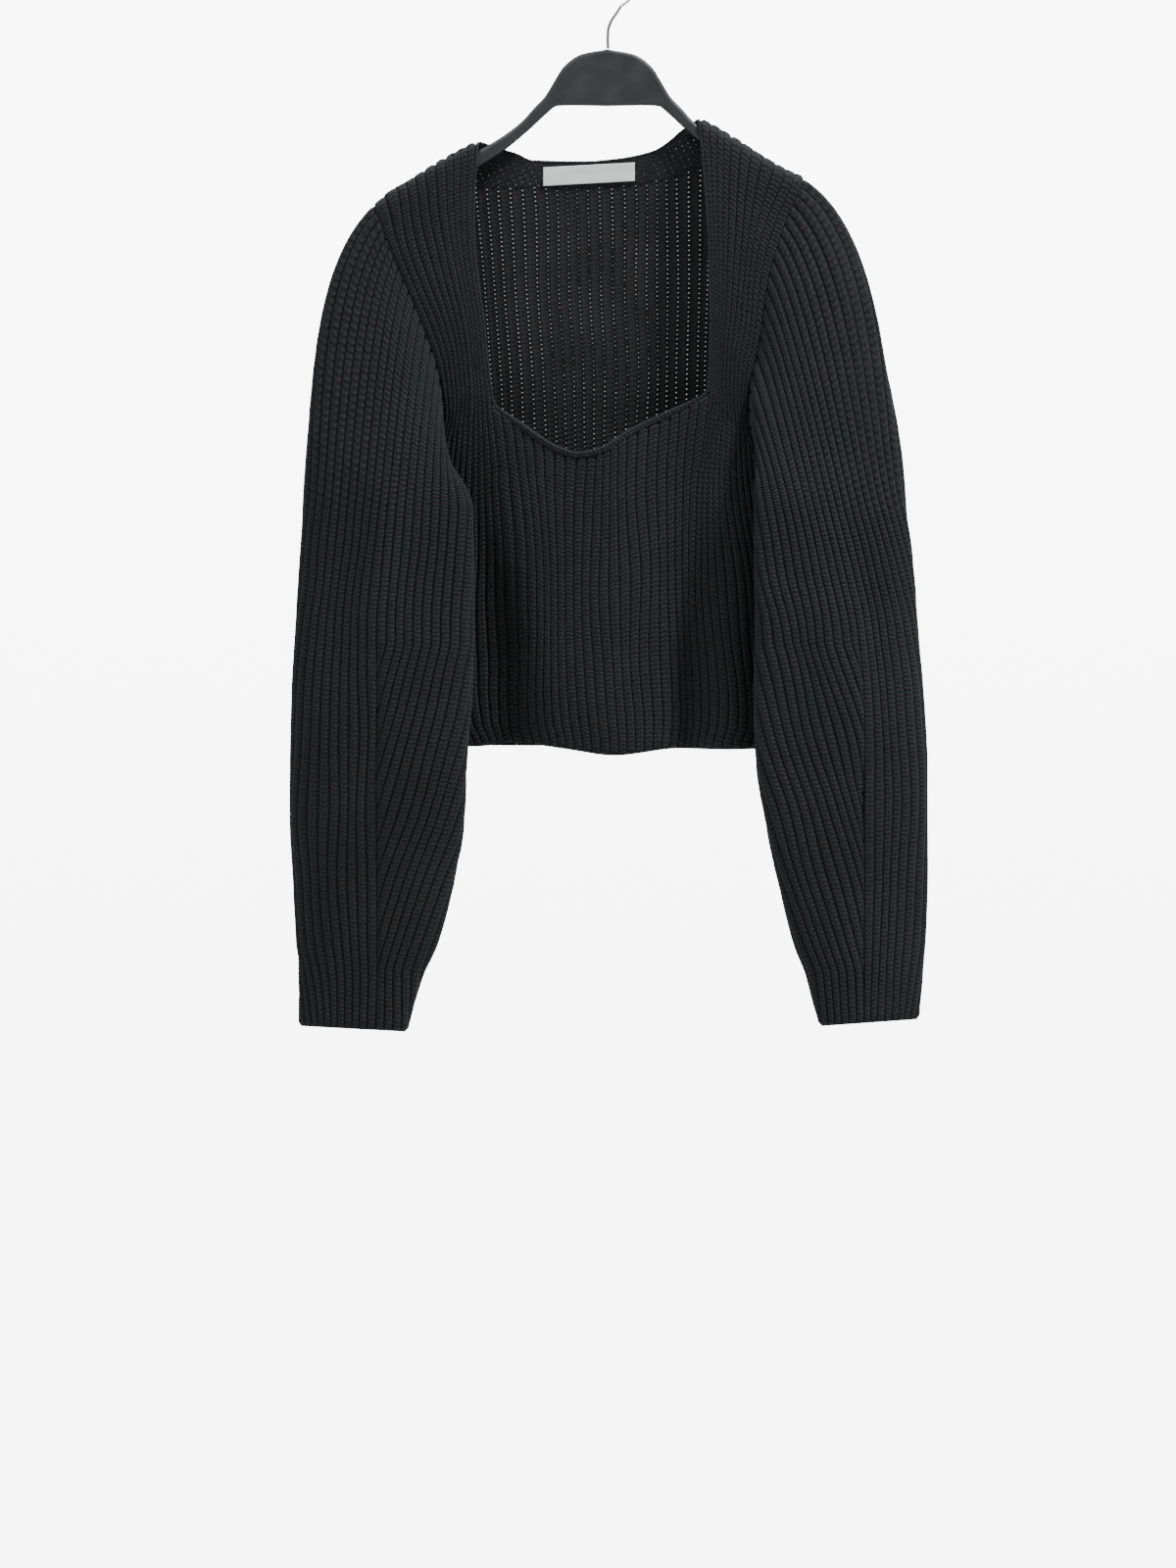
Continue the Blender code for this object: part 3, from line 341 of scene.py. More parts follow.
def read(table, key, name, at):
    """Reads a smooth curve through a table's column, without overshoot between its rows."""
    xs = table[key]
    ys = table[name]
    step = np.diff(xs)
    rise = np.diff(ys) / step
    slope = np.zeros_like(ys)
    inner = np.where(rise[1:] * rise[:-1] > 0, rise[1:] + rise[:-1], 1.0)
    slope[1:-1] = np.where(rise[1:] * rise[:-1] > 0, 2 * rise[1:] * rise[:-1] / inner, 0.0)
    slope[0] = rise[0]
    slope[-1] = rise[-1]
    at = np.clip(at, xs[0], xs[-1])
    i = np.clip(np.searchsorted(xs, at) - 1, 0, len(step) - 1)
    return smooth_way((at - xs[i]) / step[i], ys[i], ys[i + 1], slope[i] * step[i],
                      slope[i + 1] * step[i])


def level(line, x):
    """Height of a line at x."""
    return read(line, "x", "z", x)


def read_down(table, name, z):
    """Reads a table whose heights run downwards."""
    flipped = {"z": -table["z"], name: table[name]}
    return read(flipped, "z", name, -np.asarray(z, float))


def mix(a, b, t):
    return a + (b - a) * t


def clamp(t):
    return np.clip(t, 0, 1)


def body_side(z):
    """Middle and half width of the body at a height."""
    return read(BODY, "z", "middle", z), read(BODY, "z", "half", z)


def chosen(table, key, value):
    """The rows of a table whose key has a value."""
    for i in np.flatnonzero(table[key] == value):
        yield {name: column[i] for name, column in table.items()}


def down_fold(fold, z):
    """Part of the way down a fold, at a height."""
    return clamp((z - fold["z_top"]) / (fold["z_bottom"] - fold["z_top"]))


def fold_height(face, x, z):
    """Sum of the body's soft folds at a place."""
    total = np.zeros_like(x)
    for fold in chosen(BODY_FOLDS, "face", face):
        way = down_fold(fold, z)
        across = (x - mix(fold["x_top"], fold["x_bottom"], way)) / fold["width"]
        total += fold["height"] * np.exp(-across ** 2) * np.sin(0.5 * math.pi * way)
    return total


def body_depth(face, x, z):
    """Depth of a panel's plain inner face: face is -1 for the front and 1 for the back."""
    drop = level(RIDGE, x) - FULL_WALL - z
    middle, half = body_side(z)
    across = np.clip((x - middle) / half, -1, 1)
    lens = (1 - across ** 2) ** LENS_POWER
    belly = read(DEPTH, "drop", "front_belly" if face < 0 else "back_belly", drop)
    hanger = read(DEPTH, "drop", "over_hanger", drop)
    return face * (SEAM_GAP / 2 + hanger + (belly + fold_height(face, x, z)) * lens)


def rail(panel, side, kind, v):
    """x and z on one of the four rails above the chest."""
    table = panel["left"] if side < 0 else panel["right"]
    x, z = (read(table, "v", kind + axis, v) for axis in ("_x", "_z"))
    return np.array([x, z - FULL_WALL * clamp(v - 2)])


def from_side(u):
    """Whether a rib is in the right half, and its number from the nearer side seam."""
    flip = u > PANEL_RIBS / 2
    return flip, np.where(flip, PANEL_RIBS - u, u)


def strap_share(panel, part):
    """Part of the strap's width, from armhole to neck, with the finer ribs by the neck."""
    band = panel["band"]
    if not band:
        return part
    ribs = panel["strap"]
    edge = (ribs - band) / ribs
    wide = mix(0, FRONT_BAND_FROM, part / edge)
    fine = mix(FRONT_BAND_FROM, 1, (part - edge) / (1 - edge))
    return np.where(part < edge, wide, fine)


def rails(panel, flip, v):
    """Both neck rails, and the armhole and neck rails on each rib's own side."""
    left, right = (rail(panel, side, "neck", v) for side in (-1, 1))
    arm = np.where(flip, rail(panel, 1, "arm", v), rail(panel, -1, "arm", v))
    return left, right, arm, np.where(flip, right, left)


def chest_line(panel, u):
    """Where each rib crosses the chest line: lower armhole, strap foot and neck edge."""
    side, strap = panel["side"], panel["side"] + panel["strap"]
    flip, k = from_side(u)
    left, right, arm, neck = rails(panel, flip, np.ones_like(u))
    middle, half = body_side(UNDERARM_Z)
    low = clamp(k / side)
    under = [mix(start, end, read(UNDERARM_CURVE, "part", name, low)) for start, end, name in zip(
        (middle + np.where(flip, half, -half), UNDERARM_Z), arm, ("x_part", "z_part"))]
    foot = mix(arm, neck, strap_share(panel, clamp((k - side) / panel["strap"])))
    top = mix(left, right, (u - strap) / (PANEL_RIBS - 2 * strap))
    if panel["neck_edge"]:
        top[1] = level(panel["neck_edge"], gathered(panel, top[0], 1.0))
    return np.where(k < side, under, np.where(k < strap, foot, top))


def gathered(panel, x, v):
    """The front's ribs lie closer together under the sweetheart's point and drift at its folds."""
    if panel["neck_edge"] is None:
        return x
    across = (x - GATHER_X) / GATHER_WIDTH
    moved = x - GATHER_DEPTH * v ** 3 * across * np.exp(-across ** 2)
    for middle, width, shift in zip(DRIFT["x"], DRIFT["width"], DRIFT["shift"]):
        moved = moved + shift * np.exp(-((x - middle) / width) ** 2) * np.sin(math.pi * v)
    return moved


def lower_point(panel, u, v):
    """Ribs between the hem and the chest line."""
    share = 2 * u / PANEL_RIBS - 1
    hem_across = share * (1 + HEM_SPREAD * (1 - share ** 2))
    hem_x = BODY["middle"][1] + BODY["half"][1] * hem_across
    hem_z = level(panel["hem"], hem_x)
    top_x, top_z = chest_line(panel, u)
    middle, half = body_side(top_z)
    top_across = (top_x - middle) / half
    z = mix(hem_z, top_z, v)
    middle, half = body_side(z)
    return gathered(panel, middle + half * mix(hem_across, top_across, v), v), z


def ridge_lift(panel, flip, part):
    """How far the shoulder ridge rises above a straight line between the rails' tops."""
    lift = []
    for side in (-1, 1):
        arm_x, arm_z = rail(panel, side, "arm", 3.0)
        neck_x, neck_z = rail(panel, side, "neck", 3.0)
        ridge = level(RIDGE, mix(arm_x, neck_x, part)) - FULL_WALL
        lift.append(ridge - mix(arm_z, neck_z, part))
    return np.where(flip, lift[1], lift[0])


def upper_point(panel, u, v):
    """Ribs of the straps, and of the back between them, above the chest line."""
    side, strap = panel["side"], panel["side"] + panel["strap"]
    flip, k = from_side(u)
    left, right, arm, neck = rails(panel, flip, v)
    part = strap_share(panel, clamp((k - side) / panel["strap"]))
    on_strap = mix(arm, neck, part)
    on_strap[1] += ridge_lift(panel, flip, part) * clamp(v - 2) ** 2
    part = (u - strap) / (PANEL_RIBS - 2 * strap)
    between = mix(left, right, part)
    straight = mix(*(rail(panel, end, "neck", 2.0)[1] for end in (-1, 1)), part)
    between[1] += (level(YOKE, between[0]) - straight) * clamp(v - 1) ** 2
    return np.where(k <= strap, on_strap, between)


def panel_point(panel, u, v):
    """Inner face of a body panel at rib u and height v, in millimetres."""
    u, v = np.broadcast_arrays(np.asarray(u, float), np.asarray(v, float))
    low = lower_point(panel, u, clamp(v))
    x, z = np.where(v > 1, upper_point(panel, u, np.clip(v, 1, 3)), low)
    return np.stack([x, body_depth(panel["face"], x, z), z], -1)


def unit(vectors):
    return vectors / np.maximum(np.linalg.norm(vectors, axis=-1, keepdims=True), 1e-9)


def rib_range(panel, u, v):
    """First and last rib of the stretch of cloth that a place belongs to."""
    strap = panel["side"] + panel["strap"]
    low = np.where(v > 1, panel["side"], 0)
    high = np.where(v > 1, PANEL_RIBS - panel["side"], PANEL_RIBS)
    apart = v > panel["open_from"]
    high = np.where(apart & (u <= PANEL_RIBS / 2), strap, high)
    low = np.where(apart & (u > PANEL_RIBS / 2), PANEL_RIBS - strap, low)
    return low, high


def panel_normal(panel, u, v):
    """Direction out of a panel, turned straight up at the ridge and sideways at the side seam."""
    u, v = np.broadcast_arrays(np.asarray(u, float), np.asarray(v, float))
    low, high = np.where(v > 1, 1.0001, 0.0), np.where(v > 1, 3.0, 1.0)
    first, last = rib_range(panel, u, v)
    du, dv = NORMAL_STEP_RIBS, NORMAL_STEP_ROWS
    step_u = panel_point(panel, np.clip(u + du, first, last), v) - panel_point(
        panel, np.clip(u - du, first, last), v)
    step_v = panel_point(panel, u, np.clip(v + dv, low, high)) - panel_point(
        panel, u, np.clip(v - dv, low, high))
    normal = unit(np.cross(step_u, step_v)) * np.sign(panel["face"]) * -1
    drop = clamp((3 - v) / RIDGE_TURN)
    normal[..., 1] *= drop
    edge = clamp(np.minimum(u, PANEL_RIBS - u))
    normal[..., 1] *= np.where(v <= 1, edge, 1)
    return unit(normal)


# Panels: ribs, rails and edges, the lengths up to the chest, the yoke and the ridge, and how
# coarse and how ribbed the inside is. Above open_from only the straps have cloth.
FRONT = {
    "face": -1, "side": FRONT_SIDE_RIBS, "strap": FRONT_STRAP_RIBS, "band": FRONT_BAND_RIBS,
    "left": FRONT_LEFT, "right": FRONT_RIGHT, "neck_edge": SWEETHEART, "hem": FRONT_HEM,
    "open_from": 1, "lengths": (238, 95, 123), "inside_step": 4, "inside_relief": 0.0,
}
BACK = {
    "face": 1, "side": BACK_SIDE_RIBS, "strap": BACK_STRAP_RIBS, "band": 0,
    "left": BACK_LEFT, "right": BACK_RIGHT, "neck_edge": None, "hem": BACK_HEM,
    "open_from": 2, "lengths": (240, 192, 40), "inside_step": 2, "inside_relief": 0.6,
}


def lengths_along(points):
    """Length down a polyline, or down each column of a grid, from its first point."""
    steps = np.linalg.norm(np.diff(points, axis=0), axis=-1)
    return np.concatenate([np.zeros((1, *steps.shape[1:])), np.cumsum(steps, axis=0)])


def points_at(points, places, at):
    """Points of a polyline at some of its places."""
    return np.stack([np.interp(at, places, points[:, axis]) for axis in range(3)], -1)


def sleeve_ring(sleeve, z, count=240):
    """Closed section of a sleeve at a height, from its seam line outwards and round."""
    outer, inner, half_depth, outer_y, inner_y, line, tilt = (
        read_down(sleeve, name, z)
        for name in ("outer", "inner", "half_depth", "outer_y", "inner_y", "seam_line", "tilt"))
    centre = (outer + inner) / 2
    reach = (outer - inner) / 2
    reach -= math.copysign(FULL_WALL, reach)
    power = 2 / SLEEVE_SECTION_POWER
    at_line = (line - centre) / reach
    first = math.acos(math.copysign(abs(at_line) ** (1 / power), at_line))
    turn = first - np.linspace(0, 2 * math.pi, 2 * count + 1)
    along = np.sign(np.cos(turn)) * np.abs(np.cos(turn)) ** power
    out = np.sign(np.sin(turn)) * np.abs(np.sin(turn)) ** power
    x = centre + reach * along
    y = mix(inner_y, outer_y, (along + 1) / 2) - half_depth * out
    ring = np.stack([x, y, z + tilt * along], -1)
    length = lengths_along(ring)
    return ring, length / length[-1]


def sleeve_count(z):
    """Ribs round the sleeve at a height: they are lost at the seam line towards the cuff."""
    way = clamp((DECREASE_TOP_Z - z) / (DECREASE_TOP_Z - DECREASE_END_Z))
    return SLEEVE_RIBS - (SLEEVE_RIBS - CUFF_RIBS) * way


def edge_curve(points, part):
    """A point at part of the length of a polyline."""
    length = lengths_along(points)
    return points_at(points, length, part * length[-1])


def armhole(panel, side, steps=24):
    """Inner edge of a panel's armhole, from the shoulder to the underarm."""
    upper = np.linspace(3, 1, steps)
    strap_rib = panel["side"] if side < 0 else PANEL_RIBS - panel["side"]
    first = panel_point(panel, strap_rib, upper)
    lower = np.linspace(panel["side"], 0, steps // 3)[1:]
    second = panel_point(panel, lower if side < 0 else PANEL_RIBS - lower, 1.0)
    return np.concatenate([first, second])


ARMHOLES = {
    (side, name): armhole(panel, side)
    for side in (-1, 1)
    for name, panel in (("front", FRONT), ("back", BACK))
}


def seam_point(side, front):
    """Armhole seam by ribs round from the shoulder, over the front and back up behind."""
    front_ribs = (SHOULDER_RIB - UNDERARM_RIB) % SLEEVE_RIBS
    front = front % SLEEVE_RIBS
    part = float(read(CAP_START, "rib", "part", front))
    return edge_curve(ARMHOLES[side, "front" if front <= front_ribs else "back"], part)


def cap_start(side, rib):
    """Where a sleeve rib starts beside the armhole seam, and the way and pull that it leaves with.

    The gap grows where the wall leans over the seam, so that only its outer edge is close."""
    front = (SHOULDER_RIB - rib) % SLEEVE_RIBS
    seam = seam_point(side, front)
    gap, pull, outwards, forwards, up = (
        float(read(CAP_START, "rib", name, front))
        for name in ("gap", "pull", "left" if side < 0 else "right", "forwards", "up"))
    direction = unit(np.array([side * outwards, -forwards, up]))
    along = seam_point(side, front - SEAM_STEP) - seam_point(side, front + SEAM_STEP)
    away = unit(np.array([along[2], 0.0, -along[0]]))
    away *= math.copysign(1.0, away @ (ARMHOLE_CENTRE * (side, 1, 1) - seam))
    normal = unit(np.cross(direction, along)) * side
    lean = max(0.0, -float(normal @ away))
    return seam + away * (gap + FULL_WALL * lean), direction * pull


# ---------------------------------------------------------------- fine knit
# Columns of points across a rib, closer at its valleys, a stitch's length and a rib's width
RIB_STOPS = np.array([0.0, 0.08, 0.19, 0.34, 0.5, 0.66, 0.81, 0.92])
STITCH = 3.6
RIB_WIDTH = 7.0

# Heights of the knit over its plain inner face, and how its edges are rounded
CREST = 3.0
VALLEY = 1.0
FINE_CREST = 2.2
CREST_BREADTH = 3.2
VALLEY_DEPTH = 0.9
UNEVEN = 0.12
EDGE_ROUND = 2.6
HEM_THICKNESS = 0.5
CUFF_THICKNESS = 0.3

# How far ribs wander sideways, in ribs, and over how many rows and ribs. They are held beside
# seams, strap edges above a part of the height, and down to so far below a sleeve's cap
RIB_WANDER = 0.35
WANDER_ROWS = 16
WANDER_RIBS = 4
HELD_RIBS = 2
HELD_FROM = 0.8
HELD_BELOW = 60.0

# Sleeves: gap at the armhole seam, length and first step of the cap's ribs, width of the line of
# decreases, every which column the inside has, and how many columns apart normals are taken
SCENE_GAP = 0.1
CAP_LENGTH = 230
CAP_FIRST = 0.01
DECREASE_WIDTH = 0.6
SLEEVE_INSIDE_STEP = 4
NORMAL_COLUMNS = 4

# Neckband: rows and columns, how far it goes under the ribs, its knit's slant and its waves
BAND_GRID = (16, 150)
BAND_TUCK = 2.0
BAND_SLANT = 0.5
BAND_COLUMN = 6.0
BAND_BULGE = 0.35
BAND_WAVE = 0.15
BAND_WAVES = (4, 30)
BAND_SEED = 5

# Rolled binding: radii, how far it leans forward and grows, its rows, and its beads
ROLL_RADIUS = 2.7
ROLL_FORWARD = 0.35
ROLL_GROWTH = 0.125
TURN_GAP = 0.2
BINDING_STEPS = 4
BINDING_SIDES = 12
BINDING_LOOPS = 3
BINDING_SMOOTHING = 4
BINDING_ROWS = np.concatenate([np.linspace(1.03, 2.85, 60), np.linspace(2.87, 3.0, 9)])
SWEETHEART_POINTS = 110
BACK_NECK_POINTS = 90
THIN_BINDING = BINDING_RADIUS * STRAP_BINDING
BINDING_BEAD = 0.08
BINDING_UNEVEN = 0.04
BINDING_WAVES = (200, 1)
BINDING_SEED = 3


def soft_step(t):
    """A smooth way from 0 to 1."""
    t = clamp(t)
    return t * t * (3 - 2 * t)


def smooth_noise(seed, shape, cells):
    """Smooth noise in [-1, 1] over a grid of the given shape, with so many cells each way."""
    rng = np.random.default_rng(seed)
    cells = (max(1, cells[0]), max(1, cells[1]))
    coarse = rng.uniform(-1, 1, (cells[0] + 1, cells[1] + 1))
    rows = np.linspace(0, cells[0], shape[0])
    cols = np.linspace(0, cells[1], shape[1])
    i, j = (np.clip(at.astype(int), 0, most - 1) for at, most in zip((rows, cols), cells))
    s, t = soft_step(rows - i)[:, None], soft_step(cols - j)[None, :]
    a, b = coarse[np.ix_(i, j)], coarse[np.ix_(i, j + 1)]
    c, d = coarse[np.ix_(i + 1, j)], coarse[np.ix_(i + 1, j + 1)]
    return mix(mix(a, b, t), mix(c, d, t), s)


def rib_profile(place, crest=CREST):
    """Height of the knit over its plain inner face across a rib: a broad crest, a narrow valley."""
    across = np.abs(2 * (place % 1.0) - 1)
    return VALLEY + (crest - VALLEY) * (1 - across ** CREST_BREADTH) ** VALLEY_DEPTH


def edge_rounding(from_edge, at_edge):
    """Share of the knit's height beside an edge, where the share is at_edge."""
    return at_edge + (1 - at_edge) * np.sqrt(1 - (1 - clamp(from_edge / EDGE_ROUND)) ** 2)


def rib_places(ribs):
    """Places of all columns across so many ribs, without the last valley."""
    return (np.arange(ribs)[:, None] + RIB_STOPS[None, :]).ravel()


def placed(name, data):
    """A new object in the scene."""
    obj = bpy.data.objects.new(name, data)
    bpy.context.scene.collection.objects.link(obj)
    return obj


class Cloth:
    """A knit piece from a grid: a fine outer face, a plain inner face and rims between them."""

    def __init__(self, name):
        self.name = name
        self.points = []
        self.faces = []
        self.uvs = []
        self.total = 0

    def add(self, points, uv):
        """Adds points and returns the index of the first."""
        first = self.total
        self.points.append(points.reshape(-1, 3))
        self.uvs.append(uv.reshape(-1, 2))
        self.total += self.points[-1].shape[0]
        return first

    def surface(self, points, uv, cells, outward):
        """Adds the quads of a grid where cells is true. Returns the quads."""
        first = self.add(points, uv)
        index = first + np.arange(points.shape[0] * points.shape[1]).reshape(points.shape[:2])
        quads = np.stack([index[:-1, :-1], index[:-1, 1:], index[1:, 1:], index[1:, :-1]], -1)
        quads = quads[cells]
        self.faces.append(quads if outward else quads[:, ::-1])
        return self.faces[-1]

    def rims(self, quads, inner_points, uv):
        """Closes the wall where the outer face ends: strips between its edge and the inner face."""
        edges = np.concatenate([quads[:, [i, (i + 1) % 4]] for i in range(4)])
        key = np.sort(edges, axis=1)
        _, where, counts = np.unique(key, axis=0, return_index=True, return_counts=True)
        border = edges[where[counts == 1]]
        used, inverse = np.unique(border, return_inverse=True)
        inverse = inverse.reshape(border.shape)
        first = self.add(inner_points.reshape(-1, 3)[used], uv.reshape(-1, 2)[used])
        strip = [border[:, 1], border[:, 0], first + inverse[:, 0], first + inverse[:, 1]]
        self.faces.append(np.stack(strip, -1))

    def finish(self, material):
        """Makes the mesh and puts it on the part."""
        points = np.concatenate(self.points) * MM
        faces = np.concatenate(self.faces)
        uvs = np.concatenate(self.uvs)
        used, inverse = np.unique(faces, return_inverse=True)
        faces = inverse.reshape(faces.shape)
        points, uvs = points[used], uvs[used]
        mesh = bpy.data.meshes.new(self.name)
        mesh.vertices.add(len(points))
        mesh.vertices.foreach_set("co", points.astype(np.float32).ravel())
        mesh.loops.add(faces.size)
        mesh.loops.foreach_set("vertex_index", faces.astype(np.int32).ravel())
        mesh.polygons.add(len(faces))
        mesh.polygons.foreach_set("loop_start", np.arange(0, faces.size, 4, dtype=np.int32))
        mesh.update(calc_edges=True)
        layer = mesh.uv_layers.new(name="knit")
        layer.data.foreach_set("uv", uvs[faces.ravel()].astype(np.float32).ravel())
        mesh.shade_smooth()
        mesh.materials.append(material)
        mesh.validate()
        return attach(placed(self.name, mesh), "root")

    def wall(self, inner, outer, uv, outward, material):
        """Finishes a closed wall between two grids of the same shape."""
        cells = np.ones((inner.shape[0] - 1, inner.shape[1] - 1), bool)
        quads = self.surface(outer, uv, cells, outward)
        self.surface(inner, uv, cells, not outward)
        self.rims(quads, inner, uv)
        return self.finish(material)


def stitch_rows(points):
    """Stitch count down a grid: the same all along a row, as a course of knit is."""
    rows = np.median(np.diff(lengths_along(points), axis=0), axis=1) / STITCH
    return np.broadcast_to(np.concatenate([[0], np.cumsum(rows)])[:, None], points.shape[:2])


def panel_rows(lengths):
    """Rows of v at about one for each stitch, up to the chest, the yoke and the ridge."""
    rows = [np.array([0.0])]
    for low, length in enumerate(lengths):
        count = int(round(length / STITCH))
        rows.append(np.linspace(low, low + 1, count + 1)[1:])
    return np.concatenate(rows)


def panel_cells(panel, ribs, rows):
    """Where a panel has cloth: all of it to the chest, then between the straps or on them only."""
    v = (rows[1:] + rows[:-1])[:, None] / 2
    k = from_side((ribs[1:] + ribs[:-1])[None, :] / 2)[1]
    above = k > panel["side"]
    strap = above & (k < panel["side"] + panel["strap"])
    return (v < 1) | np.where(v < panel["open_from"], above, strap)


def build_panel(name, panel, seed, material):
    """Front or back, with ribs that wander a little where no seam or edge holds them."""
    cloth = Cloth(name)
    rows = panel_rows(panel["lengths"])
    ribs = np.append(rib_places(PANEL_RIBS), PANEL_RIBS)
    u, v = np.meshgrid(ribs, rows)
    k = from_side(u)[1]
    strap = panel["side"] + panel["strap"]
    wander = RIB_WANDER * smooth_noise(
        seed + 7, u.shape, (len(rows) // WANDER_ROWS, PANEL_RIBS // WANDER_RIBS))
    held = soft_step(k / HELD_RIBS)
    for edge in (panel["side"], strap):
        held = held * np.where(v > HELD_FROM, soft_step(np.abs(k - edge) / HELD_RIBS), 1)
    inner = panel_point(panel, u + wander * held, v)
    normal = panel_normal(panel, u + wander * held, v)
    fine = (v > 1) & (k > strap - panel["band"]) & (panel["band"] > 0)
    height = np.where(fine, rib_profile(u, FINE_CREST), rib_profile(u))
    height += UNEVEN * smooth_noise(seed, u.shape, (len(rows) // 2, PANEL_RIBS * 2))
    from_arm = np.where(v > 1, (k - panel["side"]) * RIB_WIDTH, EDGE_ROUND)
    from_edge = np.minimum(lengths_along(inner), np.maximum(from_arm, 0))
    height *= edge_rounding(from_edge, HEM_THICKNESS)
    uv = np.stack([u, stitch_rows(inner)], -1)
    cells = panel_cells(panel, ribs, rows)
    quads = cloth.surface(inner + normal * height[..., None], uv, cells, panel["face"] < 0)
    step = panel["inside_step"]
    keep = np.arange(0, u.shape[1], step)
    lift = panel["inside_relief"] * (CREST - rib_profile(u[:, keep] + 0.5))
    coarse = inner[:, keep] + normal[:, keep] * lift[..., None]
    cloth.surface(coarse, uv[:, keep], cells[:, ::step], panel["face"] > 0)
    cloth.rims(quads, inner, uv)
    return cloth.finish(material)


def ring_rows(sleeve, z, ribs):
    """Points of one level section of a sleeve at the given ribs."""
    ring, share = sleeve_ring(sleeve, z)
    at = clamp(ribs / sleeve_count(z))
    return points_at(ring, share, at)


def sleeve_lift(side, ribs, z):
    """Heights of the sleeve's soft folds over a grid."""
    lift = np.zeros(z.shape)
    for fold in chosen(SLEEVE_FOLDS, "side", side):
        across = (ribs - fold["rib"] + SLEEVE_RIBS / 2) % SLEEVE_RIBS - SLEEVE_RIBS / 2
        bell = np.exp(-(across / fold["width"]) ** 2)
        lift += fold["height"] * bell * np.sin(math.pi * down_fold(fold, z))
    return lift


def sleeve_inner(sleeve, side, ribs, seed):
    """Inner face of a sleeve at every row and column, and the ribs that each row has."""
    seam = np.array([seam_point(side, SHOULDER_RIB - rib) for rib in ribs])
    start, leave = np.array([cap_start(side, rib) for rib in ribs]).transpose(1, 0, 2)
    top_z, low_z = sleeve["z"][0], sleeve["z"][-1]
    end = ring_rows(sleeve, top_z, ribs)
    arrive = unit(ring_rows(sleeve, top_z - CAP_STEP, ribs) - end)
    reach = np.linalg.norm(end - start, axis=-1, keepdims=True)
    t = np.linspace(2 * CAP_FIRST, 1, int(CAP_LENGTH / STITCH))[:-1]
    cap = smooth_way(np.concatenate([[0, CAP_FIRST], t])[:, None, None], start, end,
                     leave * np.maximum(reach, CAP_LEAST_REACH), arrive * reach * CAP_END_PULL)
    tucked = seam + unit(start - seam) * SCENE_GAP
    cap = np.concatenate([[tucked, mix(tucked, start, 0.5)], cap])
    heights = np.linspace(top_z, low_z, int((top_z - low_z) / STITCH))
    wander = RIB_WANDER * smooth_noise(
        seed, (len(heights), len(ribs)),
        (len(heights) // WANDER_ROWS, SLEEVE_RIBS // WANDER_RIBS))
    held = soft_step(np.minimum(ribs, SLEEVE_RIBS - ribs) / HELD_RIBS)
    wander *= soft_step((top_z - heights) / HELD_BELOW)[:, None] * held
    tube = np.array([ring_rows(sleeve, z, ribs + shift) for z, shift in zip(heights, wander)])
    count = np.concatenate([np.full(len(cap), SLEEVE_RIBS), sleeve_count(heights)])
    return np.concatenate([cap, tube]), count


def sleeve_normals(inner, count, side):
    """Normals of the sleeve's plain form, taken across its closed rings."""
    total = inner.shape[1]
    across = np.empty_like(inner)
    for r in range(inner.shape[0]):
        active = min(total, int(np.ceil(count[r] / SLEEVE_RIBS * total)))
        ring = inner[r, :active]
        across[r, :active] = (np.roll(ring, -NORMAL_COLUMNS, axis=0)
                              - np.roll(ring, NORMAL_COLUMNS, axis=0))
        across[r, active:] = across[r, 0]
    return unit(np.cross(np.gradient(inner, axis=0), across)) * side


def build_sleeve(name, sleeve, side, seed, material):
    """A sleeve: closed rings whose last ribs end at the line of decreases."""
    cloth = Cloth(name)
    ribs = rib_places(SLEEVE_RIBS)
    inner, count = sleeve_inner(sleeve, side, ribs, seed)
    rib_grid = np.minimum(ribs[None, :], count[:, None])
    normal = sleeve_normals(inner, count, side)
    inner = inner + normal * sleeve_lift(side, rib_grid, inner[..., 2])[..., None]
    noise = smooth_noise(seed, rib_grid.shape, (rib_grid.shape[0] // 2, SLEEVE_RIBS * 2))
    height = rib_profile(rib_grid) + UNEVEN * noise * np.sin(math.pi * (rib_grid % 1.0))
    lost = clamp(1 - (count[:, None] - rib_grid) / DECREASE_WIDTH)
    height = mix(height, VALLEY, lost * (count[:, None] < SLEEVE_RIBS))
    down = lengths_along(inner)
    height *= edge_rounding(np.minimum(down, down[-1:] - down), CUFF_THICKNESS)
    on = ribs[None, :] < count[:, None]
    cells = on[:-1] | on[1:]
    uv = np.stack([rib_grid, stitch_rows(inner)], -1)
    last = uv[:, :1] + np.stack([count[:, None], 0 * count[:, None]], -1)
    inner, normal, height = (np.concatenate([grid, grid[:, :1]], 1)
                             for grid in (inner, normal, height))
    uv = np.concatenate([uv, last], 1)
    quads = cloth.surface(inner + normal * height[..., None], uv, cells, side > 0)
    keep = np.arange(0, len(ribs) + 1, SLEEVE_INSIDE_STEP)
    cloth.surface(inner[:, keep], uv[:, keep], cells[:, ::SLEEVE_INSIDE_STEP], side < 0)
    cloth.rims(quads, inner, uv)
    return cloth.finish(material)


# ---------------------------------------------------------------- trims, label, hanger
def neck_depth(x, z):
    """Depth of the back neck: it passes behind the hanger's arms before it meets the ridge."""
    left, right = BACK_LEFT["neck_x"][-1], BACK_RIGHT["neck_x"][-1]
    inside = clamp(np.minimum(x - left, right - x) / NECK_TURN)
    return np.maximum(body_depth(1, x, z), BEHIND_ARM * inside)


def back_neck_edge(x):
    """Height of the cloth's edge at the back neck, below the shoulder ridge."""
    return np.minimum(level(BACK_NECK, x), level(RIDGE, x) - FULL_WALL - SEAM_GAP)


